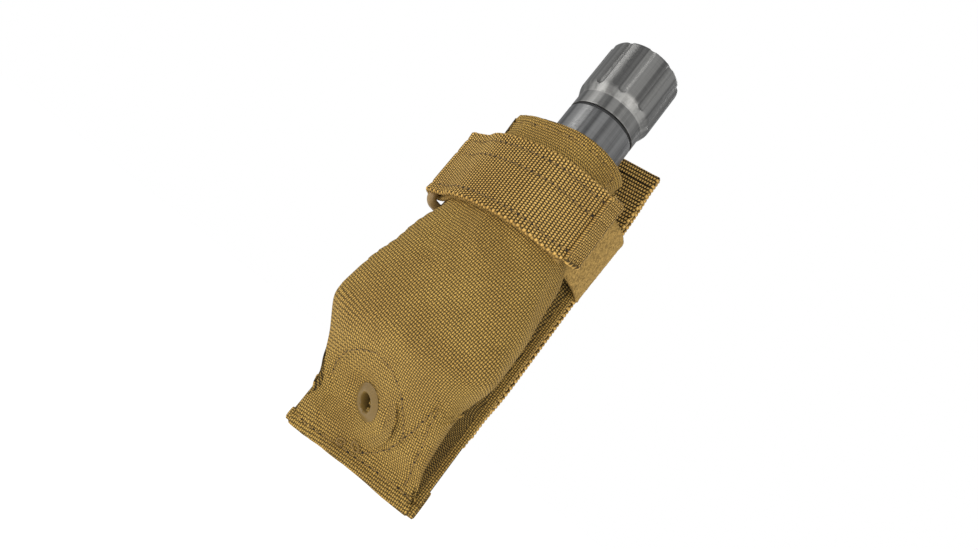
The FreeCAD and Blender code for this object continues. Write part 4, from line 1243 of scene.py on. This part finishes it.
def area_light(name, place, aim, size, power, color=(1, 1, 1)):
    data = bpy.data.lights.new(name, "AREA")
    data.shape = "RECTANGLE"
    data.size, data.size_y = size
    data.energy = power
    data.color = color
    lamp = bpy.data.objects.new(name, data)
    bpy.context.scene.collection.objects.link(lamp)
    lamp.location = place
    lamp.rotation_euler = (Vector(aim) - Vector(place)).to_track_quat("-Z", "Y").to_euler()


def make_stage():
    scene = bpy.context.scene
    world = bpy.data.worlds.new("studio")
    scene.world = world
    world.use_nodes = True
    tree = world.node_tree
    background = tree.nodes["Background"]
    seen = tree.nodes.new("ShaderNodeBackground")
    seen.inputs[0].default_value = rgb(1, 1, 1)
    background.inputs[0].default_value = rgb(0.94, 0.96, 1.0)
    background.inputs[1].default_value = 0.36
    path = tree.nodes.new("ShaderNodeLightPath")
    mix = tree.nodes.new("ShaderNodeMixShader")
    tree.links.new(path.outputs["Is Camera Ray"], mix.inputs[0])
    tree.links.new(background.outputs[0], mix.inputs[1])
    tree.links.new(seen.outputs[0], mix.inputs[2])
    tree.links.new(mix.outputs[0], tree.nodes["World Output"].inputs[0])
    centre = row((0, -15, 80))
    area_light("right_front", (0.52, -0.7, -0.16), centre, (0.45, 0.6), 4.0, (1.0, 0.99, 0.97))
    area_light("left_below", (-0.5, -0.6, -0.35), centre, (0.4, 0.6), 3.2, (1.0, 0.99, 0.97))
    area_light("rim", (0.1, 0.4, 0.6), centre, (0.5, 0.3), 2.0)
    area_light("left_strip", (-0.42, -0.36, 0.16), row((2, -16, 160)), (0.05, 0.5), 0.8)
    scene.view_settings.view_transform = "Standard"
    floor_height = cad_box[0][2] - 0.09
    mesh = bpy.data.meshes.new("floor")
    reach = 40.0
    corners = [(-reach, -reach, floor_height), (reach, -reach, floor_height), (reach, reach, floor_height),
               (-reach, reach, floor_height)]
    mesh.from_pydata(corners, [], [(0, 1, 2, 3)])
    floor = bpy.data.objects.new("floor", mesh)
    pale = solid("floor_white", rgb(0.5, 0.5, 0.5), 0.9, uneven=0.0, Emission_Color=rgb(1, 1, 1),
                 Emission_Strength=0.82)
    mesh.materials.append(pale)
    scene.collection.objects.link(floor)


make_camera()
materials = make_materials()
make_stage()
make_front(materials)
make_base_tape(materials)
make_flap(materials)
make_back(materials)
make_back_cloth(materials)
make_keeper(materials)
make_eyelet(materials)
make_light(materials)
